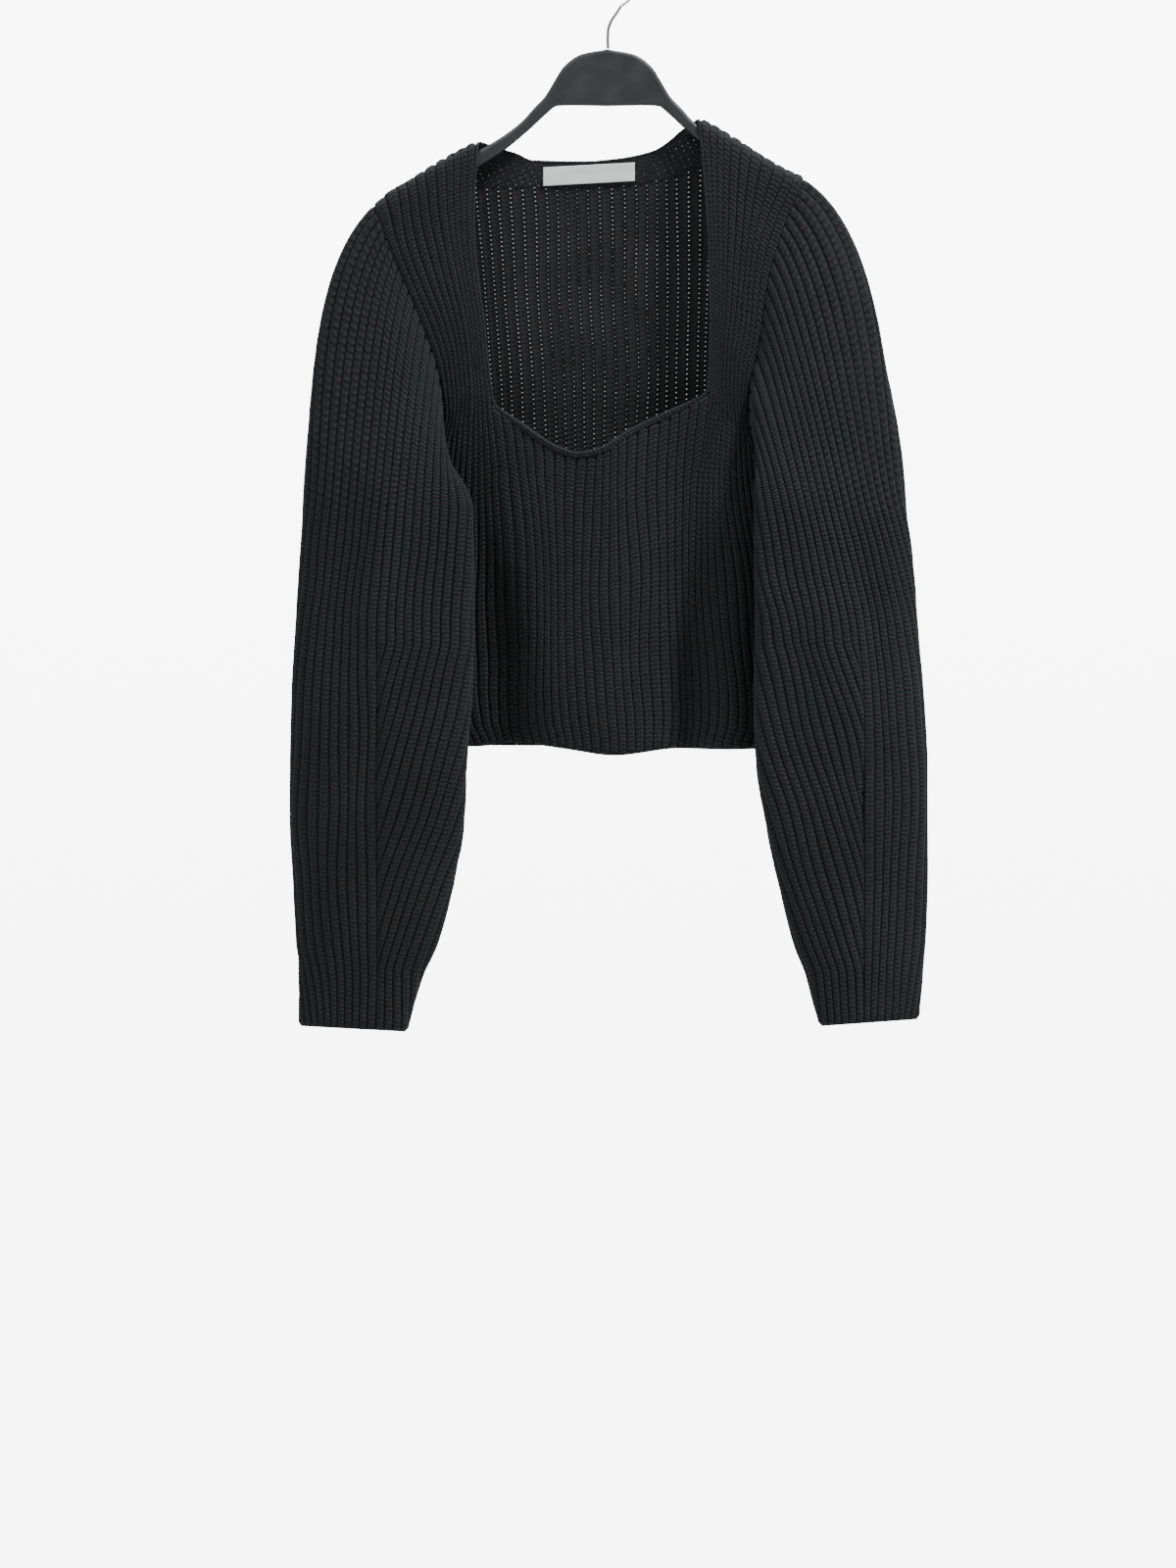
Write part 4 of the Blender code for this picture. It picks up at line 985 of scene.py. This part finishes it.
def across_back_neck(margin, count):
    """Places across the back neck, closer together beside the hanger's arms."""
    left, right = BACK_LEFT["neck_x"][-1] + margin, BACK_RIGHT["neck_x"][-1] - margin
    turns = NECK_TURN * np.linspace(0, 1, 5)
    middle = np.linspace(left + 2 * NECK_TURN, right - 2 * NECK_TURN, count)
    return np.concatenate([left + turns, middle, (right - turns)[::-1]])


def build_band(material):
    """Plain band of the back neck, from the ribs up to the binding."""
    x = across_back_neck(-BAND_TUCK, BAND_GRID[1])
    part = np.linspace(0, 1, BAND_GRID[0])[:, None]
    z = mix(level(YOKE, x) - BAND_TUCK / 2, back_neck_edge(x) + SEAM_GAP, part)
    x = np.broadcast_to(x, z.shape)
    noise = smooth_noise(BAND_SEED, z.shape, BAND_WAVES)
    bulge = BAND_BULGE * np.sin(math.pi * part) + BAND_WAVE * noise
    inner = np.stack([x, neck_depth(x, z) - bulge, z], -1)
    uv = np.stack([(x + BAND_SLANT * z) / BAND_COLUMN, z / STITCH], -1)
    return Cloth("back_neckband_knit").wall(inner, inner + (0, BAND_WALL, 0), uv, False, material)


def strap_binding(side, rows):
    """The thin binding along a strap's neck edge, up to the shoulder ridge."""
    strap = FRONT_SIDE_RIBS + FRONT_STRAP_RIBS
    rib = strap if side < 0 else PANEL_RIBS - strap
    normal = panel_normal(FRONT, rib, rows)
    centre = panel_point(FRONT, rib, rows) + normal * WALL / 2
    centre[:, 0] -= side * (THIN_BINDING + np.abs(normal[:, 0]) * WALL / 2)
    return [(point, THIN_BINDING) for point in centre]


def sweetheart_binding(count=SWEETHEART_POINTS):
    """The rolled binding along the sweetheart edge, thinner where it meets the straps."""
    first, last = SWEETHEART["x"][[0, -1]]
    x = np.linspace(first + SWEETHEART_INSET, last - SWEETHEART_INSET, count)
    z = level(SWEETHEART, x)
    edge = np.stack([x, body_depth(-1, x, z) - WALL / 2, z], -1)
    slope = np.gradient(z, x)
    away = unit(np.stack([-slope, np.zeros_like(x), np.ones_like(x)], -1))
    order = np.arange(count)
    grow = clamp(np.minimum(order, count - 1 - order) / (count * ROLL_GROWTH))
    radius = mix(THIN_BINDING, ROLL_RADIUS, grow)
    return list(zip(edge + (away - (0, ROLL_FORWARD, 0)) * radius[:, None], radius))


def binding_path():
    """Centre line and thickness of the rolled binding round the whole neck edge."""
    x = across_back_neck(THIN_BINDING + SEAM_GAP, BACK_NECK_POINTS)[::-1]
    z = back_neck_edge(x)
    turn = 1 - clamp(np.minimum(x - x[-1], x[0] - x) / (2 * NECK_TURN))
    above = z + THIN_BINDING + SEAM_GAP / 2 + TURN_GAP * turn
    back = np.stack([x, neck_depth(x, z) + BAND_WALL / 2, above], -1)
    return (strap_binding(-1, BINDING_ROWS[::-1]) + sweetheart_binding()
            + strap_binding(1, BINDING_ROWS) + [(point, THIN_BINDING) for point in back])


def ring_frames(points):
    """Two directions across a closed path at each of its points, turning as little as they can."""
    tangent = unit(np.roll(points, -1, axis=0) - np.roll(points, 1, axis=0))
    side = np.zeros_like(tangent)
    last = np.cross(tangent[0], (1.0, 0.0, 0.0))
    for i, along in enumerate(tangent):
        last = unit(last - along * (last @ along))
        side[i] = last
    closed = unit(last - tangent[0] * (last @ tangent[0]))
    twist = math.atan2(np.cross(side[0], closed) @ tangent[0], side[0] @ closed)
    turn = (-twist * np.arange(len(points)) / len(points))[:, None]
    side = side * np.cos(turn) + np.cross(tangent, side) * np.sin(turn)
    return side, np.cross(side, tangent)


def build_binding(material):
    """The binding as a tube whose small stitches run round it."""
    points, radius = (np.array(values, float) for values in zip(*binding_path()))
    length = lengths_along(points)
    even = np.arange(0, length[-1], STITCH / BINDING_STEPS)
    points = points_at(points, length, even)
    radius = np.interp(even, length, radius)
    for _ in range(BINDING_SMOOTHING):
        points = (np.roll(points, 1, axis=0) + 2 * points + np.roll(points, -1, axis=0)) / 4
    around = np.linspace(0, 2 * math.pi, BINDING_SIDES + 1)
    side, front = ring_frames(points)
    noise = smooth_noise(BINDING_SEED, (len(even), 1), BINDING_WAVES)[:, 0]
    bead = 1 + BINDING_BEAD * np.sin(even / STITCH * 2 * math.pi) + BINDING_UNEVEN * noise
    turn = around[None, :, None]
    ring = side[:, None] * np.cos(turn) + front[:, None] * np.sin(turn)
    grid = points[:, None] + ring * (radius * bead)[:, None, None]
    loops = around / (2 * math.pi) * BINDING_LOOPS
    uv = np.stack(np.broadcast_arrays(loops, (even / STITCH)[:, None]), -1)
    cloth = Cloth("neck_binding_knit")
    grid = np.concatenate([grid, grid[:1]], 0)
    uv = np.concatenate([uv, uv[-1:] + (0, 1 / BINDING_STEPS)], 0)
    cloth.surface(grid, uv, np.ones((grid.shape[0] - 1, grid.shape[1] - 1), bool), True)
    return cloth.finish(material)


def build_label(material):
    """Blank woven label, its long edges folded under."""
    x = np.linspace(*LABEL_TOP["x"], LABEL_GRID[1])
    part = np.linspace(0, 1, LABEL_GRID[0])[:, None]
    z = level(LABEL_TOP, x) - LABEL_HEIGHT * (1 - part)
    wave = LABEL_WAVE * smooth_noise(LABEL_SEED, z.shape, LABEL_WAVES) * np.sin(math.pi * part)
    x = np.broadcast_to(x, z.shape)
    inner = np.stack([x, neck_depth(x, z) - LABEL_LIFT - wave, z], -1)
    puff = LABEL_WALL * mix(1.0, LABEL_MIDDLE, soft_step(np.minimum(part, 1 - part) / LABEL_FOLD))
    outer = inner - puff[..., None] * (0, 1, 0)
    return Cloth("neck_label_cloth").wall(inner, outer, np.stack([x, z], -1), True, material)


def hanger_half(table, count):
    """Points of one half outline of the hanger."""
    x = np.linspace(table["x"][0], table["x"][-1], count)
    return [(at, z, 0) for at, z in zip(x, level(table, x))]


def line_curve(name, dimensions, points, closed):
    """A curve of short straight pieces through points in millimetres."""
    curve = bpy.data.curves.new(name, "CURVE")
    curve.dimensions = dimensions
    line = curve.splines.new("POLY")
    line.points.add(len(points) - 1)
    for knot, point in zip(line.points, points):
        knot.co = (*(float(c) * MM for c in point), 1)
    line.use_cyclic_u = closed
    return curve


def settled(shape, name, material):
    """Makes a curve into a mesh in place and puts it on the part."""
    bpy.context.view_layer.update()
    graph = bpy.context.evaluated_depsgraph_get()
    mesh = bpy.data.meshes.new_from_object(shape.evaluated_get(graph))
    mesh.transform(shape.matrix_world)
    mesh.name = name
    mesh.materials.clear()
    mesh.materials.append(material)
    mesh.shade_smooth()
    mesh.set_sharp_from_angle(angle=math.radians(SHARP_ANGLE))
    bpy.data.objects.remove(shape, do_unlink=True)
    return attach(placed(name, mesh), "root")


def build_hanger(material):
    """Flat hanger body with a smooth outline and rounded edges."""
    top, bottom = map(hanger_half, (HANGER_TOP, HANGER_BOTTOM), OUTLINE_POINTS)
    right = top[1:] + bottom[::-1]
    left = [(-x, z, 0) for x, z, _ in reversed(right) if x > 0]
    curve = line_curve("hanger_outline", "2D", [top[0]] + right + left, True)
    curve.fill_mode = "BOTH"
    curve.extrude = (HANGER_THICKNESS / 2 - HANGER_EDGE) * MM
    curve.bevel_depth = HANGER_EDGE * MM
    curve.bevel_resolution = EDGE_STEPS
    curve.offset = -HANGER_EDGE * MM
    shape = placed("hanger_shape", curve)
    shape.rotation_euler = (math.pi / 2, 0, 0)
    return settled(shape, "hanger_body", material)


def build_hook(material):
    """Wire hook as one smooth bent wire."""
    heights = np.linspace(STEM["z"][0], STEM["z"][-1], STEM_POINTS)
    path = [(read(STEM, "z", "x", height), 0.0, height) for height in heights]
    centre = WIRE_RADIUS - HOOK_RADIUS
    for angle in np.linspace(HOOK_START_ANGLE, HOOK_TIP_ANGLE, HOOK_POINTS):
        turn = math.radians(angle)
        path.append((HOOK_RADIUS * math.cos(turn), 0.0, centre + HOOK_RADIUS * math.sin(turn)))
    curve = line_curve("hook_wire", "3D", path, False)
    curve.bevel_depth = WIRE_RADIUS * MM
    curve.bevel_resolution = WIRE_STEPS
    curve.use_fill_caps = True
    return settled(placed("hook_wire_shape", curve), "hook_wire", material)


# ---------------------------------------------------------------- materials
class Finish:
    """A node material with a few short hands."""

    def __init__(self, name):
        self.material = bpy.data.materials.new(name)
        self.material.use_nodes = True
        self.tree = self.material.node_tree
        self.shader = self.tree.nodes["Principled BSDF"]

    def node(self, kind, **settings):
        made = self.tree.nodes.new(kind)
        for key, value in settings.items():
            setattr(made, key, value)
        return made

    def put(self, value, socket):
        if isinstance(value, bpy.types.NodeSocket):
            self.tree.links.new(value, socket)
        else:
            socket.default_value = value

    def give(self, name, value):
        """Links a socket to one of the shader's inputs or sets the input to a constant."""
        self.put(value, self.shader.inputs[name])

    def math(self, operation, *values, clamp=False):
        made = self.node("ShaderNodeMath", operation=operation, use_clamp=clamp)
        for value, socket in zip(values, made.inputs):
            self.put(value, socket)
        return made.outputs[0]

    def times(self, a, b):
        return self.math("MULTIPLY", a, b)

    def plus(self, a, b):
        return self.math("ADD", a, b)

    def minus(self, a, b):
        return self.math("SUBTRACT", a, b)

    def apart(self, a, b):
        return self.math("ABSOLUTE", self.minus(a, b))

    def ramp(self, value, low, high, to_low=0.0, to_high=1.0):
        made = self.node("ShaderNodeMapRange", interpolation_type="SMOOTHSTEP")
        for part, socket in zip((value, low, high, to_low, to_high), made.inputs):
            self.put(part, socket)
        return made.outputs[0]

    def noise(self, vector, scale, detail=2.0, roughness=0.5):
        made = self.node("ShaderNodeTexNoise")
        self.put(vector, made.inputs["Vector"])
        made.inputs["Scale"].default_value = scale
        made.inputs["Detail"].default_value = detail
        made.inputs["Roughness"].default_value = roughness
        return made.outputs[0]

    def blend(self, factor, a, b):
        """Mixes two colours, each a socket or three numbers."""
        made = self.node("ShaderNodeMix", data_type="RGBA")
        self.put(factor, made.inputs[0])
        for value, socket in zip((a, b), made.inputs[6:8]):
            self.put((*value, 1.0) if isinstance(value, tuple) else value, socket)
        return made.outputs[2]

    def bump(self, height, distance, strength):
        made = self.node("ShaderNodeBump")
        made.inputs["Distance"].default_value = distance
        made.inputs["Strength"].default_value = strength
        self.put(height, made.inputs["Height"])
        return made.outputs[0]

    def knit_place(self):
        """Rib and stitch coordinates of the knit."""
        return self.split(self.node("ShaderNodeUVMap", uv_map="knit").outputs[0])[:2]

    def object_place(self):
        return self.node("ShaderNodeTexCoord").outputs["Object"]

    def split(self, vector):
        made = self.node("ShaderNodeSeparateXYZ")
        self.put(vector, made.inputs[0])
        return made.outputs


# Yarn colours: two heather tones, and a near black that is painted shade for the rib valleys, each
# rib's middle and the gaps between stitch rows.
YARN = (0.0212, 0.0276, 0.0286)
YARN_WARM = (0.0298, 0.0254, 0.0276)
YARN_PAINTED_SHADE = (0.0045, 0.0048, 0.0049)

YARN_LOOK = {"Roughness": 0.9, "Specular IOR Level": 0.15, "Sheen Weight": 0.06,
             "Sheen Roughness": 0.5, "Sheen Tint": (0.8, 0.9, 0.95, 1.0)}

# Stitches: offset from rib to rib, slant to a rib's sides, roundness, and seam between ribs
RIB_PHASE = 0.37
CHEVRON = 0.18
STITCH_ARCH = 1.3
RIB_SEAM = (0.0, 0.3, 0.45, 1.0)

# Noises by scale, detail and roughness, and how far the fuzz changes height and tone
STITCH_DRIFT = 60.0
FUZZ = (520.0, 4.0, 0.75)
FUZZ_HEIGHT = 0.9
FUZZ_TONE = 2.2
HEATHER = (300.0, 2.0)
HEATHER_EDGES = (0.40, 0.60)
PATCHES = (14.0, 3.0)
PATCH_EDGES = (0.3, 0.7)

# Pinholes: half sizes in stitches and ribs, how clear they are, and their noises
HOLE_HEIGHT = 0.13
HOLE_WIDTH = 0.08
HOLE_CLEAR = 0.22
HOLE_NOISES = ((300.0, 1.0), (28.0, 2.0))
HOLE_OPEN = (0.5, 1.25)

# Where pinholes are, in metres: below a sloping line, and more of them away from the middle
HOLE_TOP_SLOPE = 0.075
HOLE_TOP = (-0.1545, -0.1565)
HOLE_MIDDLE = -0.008
HOLE_SIDES = (0.02, 0.085, -0.1, 0.25)

# Plain finishes: depth and strength of the grain, and two colours
PLASTIC_GRAIN = (0.00006, 0.6)
PLASTIC = ((0.024, 0.026, 0.027), (0.034, 0.036, 0.037))
WIRE_GRAIN = (0.00003, 0.4)
WIRE = ((0.62, 0.62, 0.63), (0.8, 0.8, 0.81))
LABEL_GRAIN = (0.00008, 0.7)
LABEL_WHITE = ((0.82, 0.84, 0.84), (0.93, 0.94, 0.94))

# Pitch of the label's weave, in millimetres
WEFT = 0.55
WARP = 0.7


def knit_finish(name, holes=None, rows=0.62, valley=0.70, depth=0.0009, shade=1.0):
    """Rib knit: rows of small stitches along each rib, fuzzy heathered yarn, and painted shade in
    the valleys, along each rib's middle and between stitch rows.
    """
    f = Finish(name)
    rib, stitch = f.knit_place()
    place = f.object_place()
    drift = f.times(f.minus(f.noise(place, STITCH_DRIFT), 0.5), 0.5)
    across = f.apart(f.times(f.math("FRACT", rib), 2.0), 1.0)
    slant = f.plus(f.times(across, CHEVRON), f.times(f.math("FLOOR", rib), RIB_PHASE))
    row = f.math("FRACT", f.plus(f.plus(stitch, slant), drift))
    from_middle = f.apart(f.times(row, 2.0), 1.0)
    arch = f.minus(1.0, f.math("POWER", from_middle, STITCH_ARCH))
    on_rib = f.ramp(across, 1.0, valley)
    seam = f.ramp(across, *RIB_SEAM)
    fuzz = f.noise(place, *FUZZ)
    loops = f.times(f.times(arch, on_rib), seam)
    f.give("Normal", f.bump(f.plus(loops, f.times(fuzz, FUZZ_HEIGHT)), depth, 1.0))
    # Painted shade: darker between stitch rows and along each rib's middle, as much as rows says,
    # and darker towards each valley by on_rib, under the fuzz's random speckle.
    stitch_and_seam_painted_shade = f.plus(1.0 - rows, f.times(f.times(arch, seam), rows))
    speckle = f.times(f.minus(fuzz, 0.5), FUZZ_TONE)
    painted_shade_and_speckle = f.math("ADD", f.times(on_rib, stitch_and_seam_painted_shade), speckle, clamp=True)
    yarn = f.blend(f.ramp(f.noise(place, *HEATHER), *HEATHER_EDGES), YARN, YARN_WARM)
    # shade scales the whole yarn's brightness; the front and back copies use it for painted shade.
    patch = f.ramp(f.noise(place, *PATCHES), *PATCH_EDGES, 0.9 * shade, 1.1 * shade)
    scaled = f.node("ShaderNodeVectorMath", operation="SCALE")
    # Painted shade: the yarn is mixed towards its near black shade colour.
    f.put(f.blend(painted_shade_and_speckle, YARN_PAINTED_SHADE, yarn), scaled.inputs[0])
    f.put(patch, scaled.inputs["Scale"])
    f.give("Base Color", scaled.outputs[0])
    for key, value in YARN_LOOK.items():
        f.give(key, value)
    if holes is not None:
        open_here = f.times(pinholes(f, rib, stitch, drift, place, holes), HOLE_CLEAR)
        f.give("Alpha", f.minus(1.0, open_here))
    return f.material


def pinholes(f, rib, stitch, drift, place, holes):
    """Small holes at the stitches of every valley, more of them towards both sides of the neck."""
    valley = f.math("ROUND", rib)
    wander = f.plus(f.times(drift, 0.4), f.times(valley, RIB_PHASE))
    from_middle = f.apart(f.math("FRACT", f.plus(stitch, wander)), 0.5)
    from_valley = f.minus(rib, valley)
    far = f.plus(f.math("POWER", f.math("DIVIDE", from_middle, HOLE_HEIGHT), 2.0),
                 f.math("POWER", f.math("DIVIDE", from_valley, HOLE_WIDTH), 2.0))
    x, _, z = f.split(place)
    below = f.ramp(f.minus(z, f.times(x, HOLE_TOP_SLOPE)), *HOLE_TOP)
    sideways = f.ramp(f.apart(x, HOLE_MIDDLE), *HOLE_SIDES)
    open_here = f.plus(f.plus(*(f.noise(place, *noise) for noise in HOLE_NOISES)), sideways)
    size = f.ramp(f.plus(open_here, holes), *HOLE_OPEN)
    return f.math("LESS_THAN", far, f.times(size, below))


def plastic_finish(name):
    """Dark grey plastic with a fine grain and a little wear."""
    f = Finish(name)
    place = f.object_place()
    f.give("Normal", f.bump(f.noise(place, 900.0, 2.0), *PLASTIC_GRAIN))
    wear = f.ramp(f.noise(place, 60.0, 4.0), 0.35, 0.75)
    f.give("Base Color", f.blend(wear, *PLASTIC))
    f.give("Roughness", f.ramp(f.noise(place, 30.0, 3.0), 0.3, 0.7, 0.42, 0.55))
    return f.material


def chrome_finish(name):
    """Bright drawn wire."""
    f = Finish(name)
    place = f.object_place()
    f.give("Normal", f.bump(f.noise(place, 400.0, 2.0), *WIRE_GRAIN))
    f.give("Base Color", f.blend(f.noise(place, 120.0, 3.0), *WIRE))
    f.give("Metallic", 1.0)
    f.give("Roughness", f.ramp(f.noise(place, 200.0, 2.0), 0.3, 0.7, 0.12, 0.22))
    return f.material


def label_finish(name):
    """White woven tape with a fine weave."""
    f = Finish(name)
    along, up = f.knit_place()
    weft = f.math("SINE", f.times(up, 2 * math.pi / WEFT))
    warp = f.math("SINE", f.times(along, 2 * math.pi / WARP))
    weave = f.plus(f.times(weft, 0.6), f.times(warp, 0.4))
    f.give("Normal", f.bump(weave, *LABEL_GRAIN))
    f.give("Base Color", f.blend(f.noise(f.object_place(), 80.0, 3.0), *LABEL_WHITE))
    f.give("Roughness", 0.6)
    return f.material


# ---------------------------------------------------------------- stage
# Camera and floor in metres, the backdrop's heights and glow, and lamps with place, size, power
FRAME_CENTRE = (-0.0158, -0.02, -0.6718)
FRAME_HEIGHT = 1.264
CAMERA_DISTANCE = 12.0
CAMERA_REACH = 60
SENSOR = 36.0
FLOOR_Z = -1.95
FLOOR_REACH = 4.5
BACKDROP_RADIUS = 16.0
BACKDROP_PARTS = (48, 24)
BACKDROP_GLOW = (-2.2, 1.6, 7.0, 9.5)
SKY = (0.97, 0.98, 1.0, 1)
SKY_LIGHT = 0.34
LIT_POINT = (0, 0, -0.5)
LIGHTS = (
    ("key", (2.2, -1.5, 3.4), 0.7, 265),
    ("fill", (-2.2, -2.2, 3.2), 1.4, 90),
    ("rim", (0.6, 2.4, 3.2), 1.4, 110),
)


def area_light(name, place, size, power):
    """A round soft light that looks at the garment's middle."""
    light = bpy.data.lights.new(name, "AREA")
    light.shape = "DISK"
    light.size = size
    light.energy = power
    obj = placed(name, light)
    obj.location = place
    obj.rotation_euler = (Vector(LIT_POINT) - obj.location).to_track_quat("-Z", "Y").to_euler()


def stage_piece(name, mesh, material):
    """A piece of the surroundings, which isn't part of the object."""
    mesh.materials.append(material)
    obj = placed(name, mesh)
    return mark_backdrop(obj) or obj


def build_floor():
    """A pale square floor."""
    floor = Finish("floor_paint")
    floor.give("Base Color", (0.9, 0.9, 0.9, 1))
    floor.give("Roughness", 0.9)
    corners = [(FLOOR_REACH * x, FLOOR_REACH * y, FLOOR_Z)
               for x, y in ((-1, -1), (1, -1), (1, 1), (-1, 1))]
    mesh = bpy.data.meshes.new("floor")
    mesh.from_pydata(corners, [], [(0, 1, 2, 3)])
    stage_piece("floor", mesh, floor.material)


def build_backdrop():
    """White studio surround that the camera sees and that lights nothing."""
    paper = Finish("backdrop_paper")
    height = paper.split(paper.object_place())[2]
    paper.give("Base Color", (0, 0, 0, 1))
    paper.give("Specular IOR Level", 0.0)
    paper.give("Emission Color", (0.99, 0.995, 1.0, 1))
    paper.give("Emission Strength", paper.ramp(height, *BACKDROP_GLOW))
    shape = bmesh.new()
    bmesh.ops.create_uvsphere(shape, u_segments=BACKDROP_PARTS[0],
                              v_segments=BACKDROP_PARTS[1], radius=BACKDROP_RADIUS)
    bmesh.ops.reverse_faces(shape, faces=shape.faces)
    mesh = bpy.data.meshes.new("backdrop")
    shape.to_mesh(mesh)
    shape.free()
    mesh.shade_smooth()
    backdrop = stage_piece("backdrop", mesh, paper.material)
    backdrop.visible_diffuse = False
    backdrop.visible_glossy = False
    backdrop.visible_shadow = False


def build_stage():
    """Camera, sky light, floor, backdrop and lamps."""
    scene = bpy.context.scene
    camera = bpy.data.cameras.new("camera")
    camera.lens = SENSOR * CAMERA_DISTANCE / FRAME_HEIGHT
    camera.clip_end = CAMERA_REACH
    view = placed("camera", camera)
    view.location = (FRAME_CENTRE[0], FRAME_CENTRE[1] - CAMERA_DISTANCE, FRAME_CENTRE[2])
    view.rotation_euler = (math.pi / 2, 0, 0)
    scene.camera = view
    world = bpy.data.worlds.new("studio")
    world.use_nodes = True
    for value, socket in zip((SKY, SKY_LIGHT), world.node_tree.nodes["Background"].inputs):
        socket.default_value = value
    scene.world = world
    build_floor()
    build_backdrop()
    for light in LIGHTS:
        area_light(*light)


def main():
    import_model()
    knit = knit_finish("charcoal_rib_knit")
    # The front is the same yarn made darker as painted shade, because it faces the lamps less than
    # the sleeves do.
    front_knit = knit_finish("charcoal_front_knit_painted_shade", shade=0.9)
    # The back also has pinholes; its yarn is made darker as painted shade for its inside, seen
    # through the neck.
    open_knit = knit_finish("charcoal_back_knit_painted_shade", holes=0.0, rows=0.1, valley=0.35,
                            depth=0.0004, shade=0.85)
    plain = knit_finish("charcoal_band_knit", holes=-0.38, rows=0.15, valley=0.95,
                        depth=0.0004, shade=0.75)
    trim = knit_finish("charcoal_rolled_knit", rows=0.5, depth=0.0004, shade=1.1)
    front = build_panel("front_knit", FRONT, 11, front_knit)
    back = build_panel("back_knit", BACK, 23, open_knit)
    left = build_sleeve("sleeve_left_knit", LEFT_SLEEVE, -1, 31, knit)
    right = build_sleeve("sleeve_right_knit", RIGHT_SLEEVE, 1, 41, knit)
    pieces = (
        (front, "front", "body_knit"),
        (back, "back", "body_knit"),
        (left, "sleeve_left", "body_knit"),
        (right, "sleeve_right", "body_knit"),
        (build_band(plain), "back_neckband", "trim_knit"),
        (build_binding(trim), "neck_binding", "trim_knit"),
        (build_label(label_finish("blank_label_weave")), "neck_label", "label_cloth"),
        (build_hanger(plastic_finish("hanger_satin_plastic")), "hanger", "hanger_plastic"),
        (build_hook(chrome_finish("hook_chrome_wire")), "hook", "hook_chrome"),
    )
    for piece, node, slot in pieces:
        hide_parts(node)
    build_stage()


main()
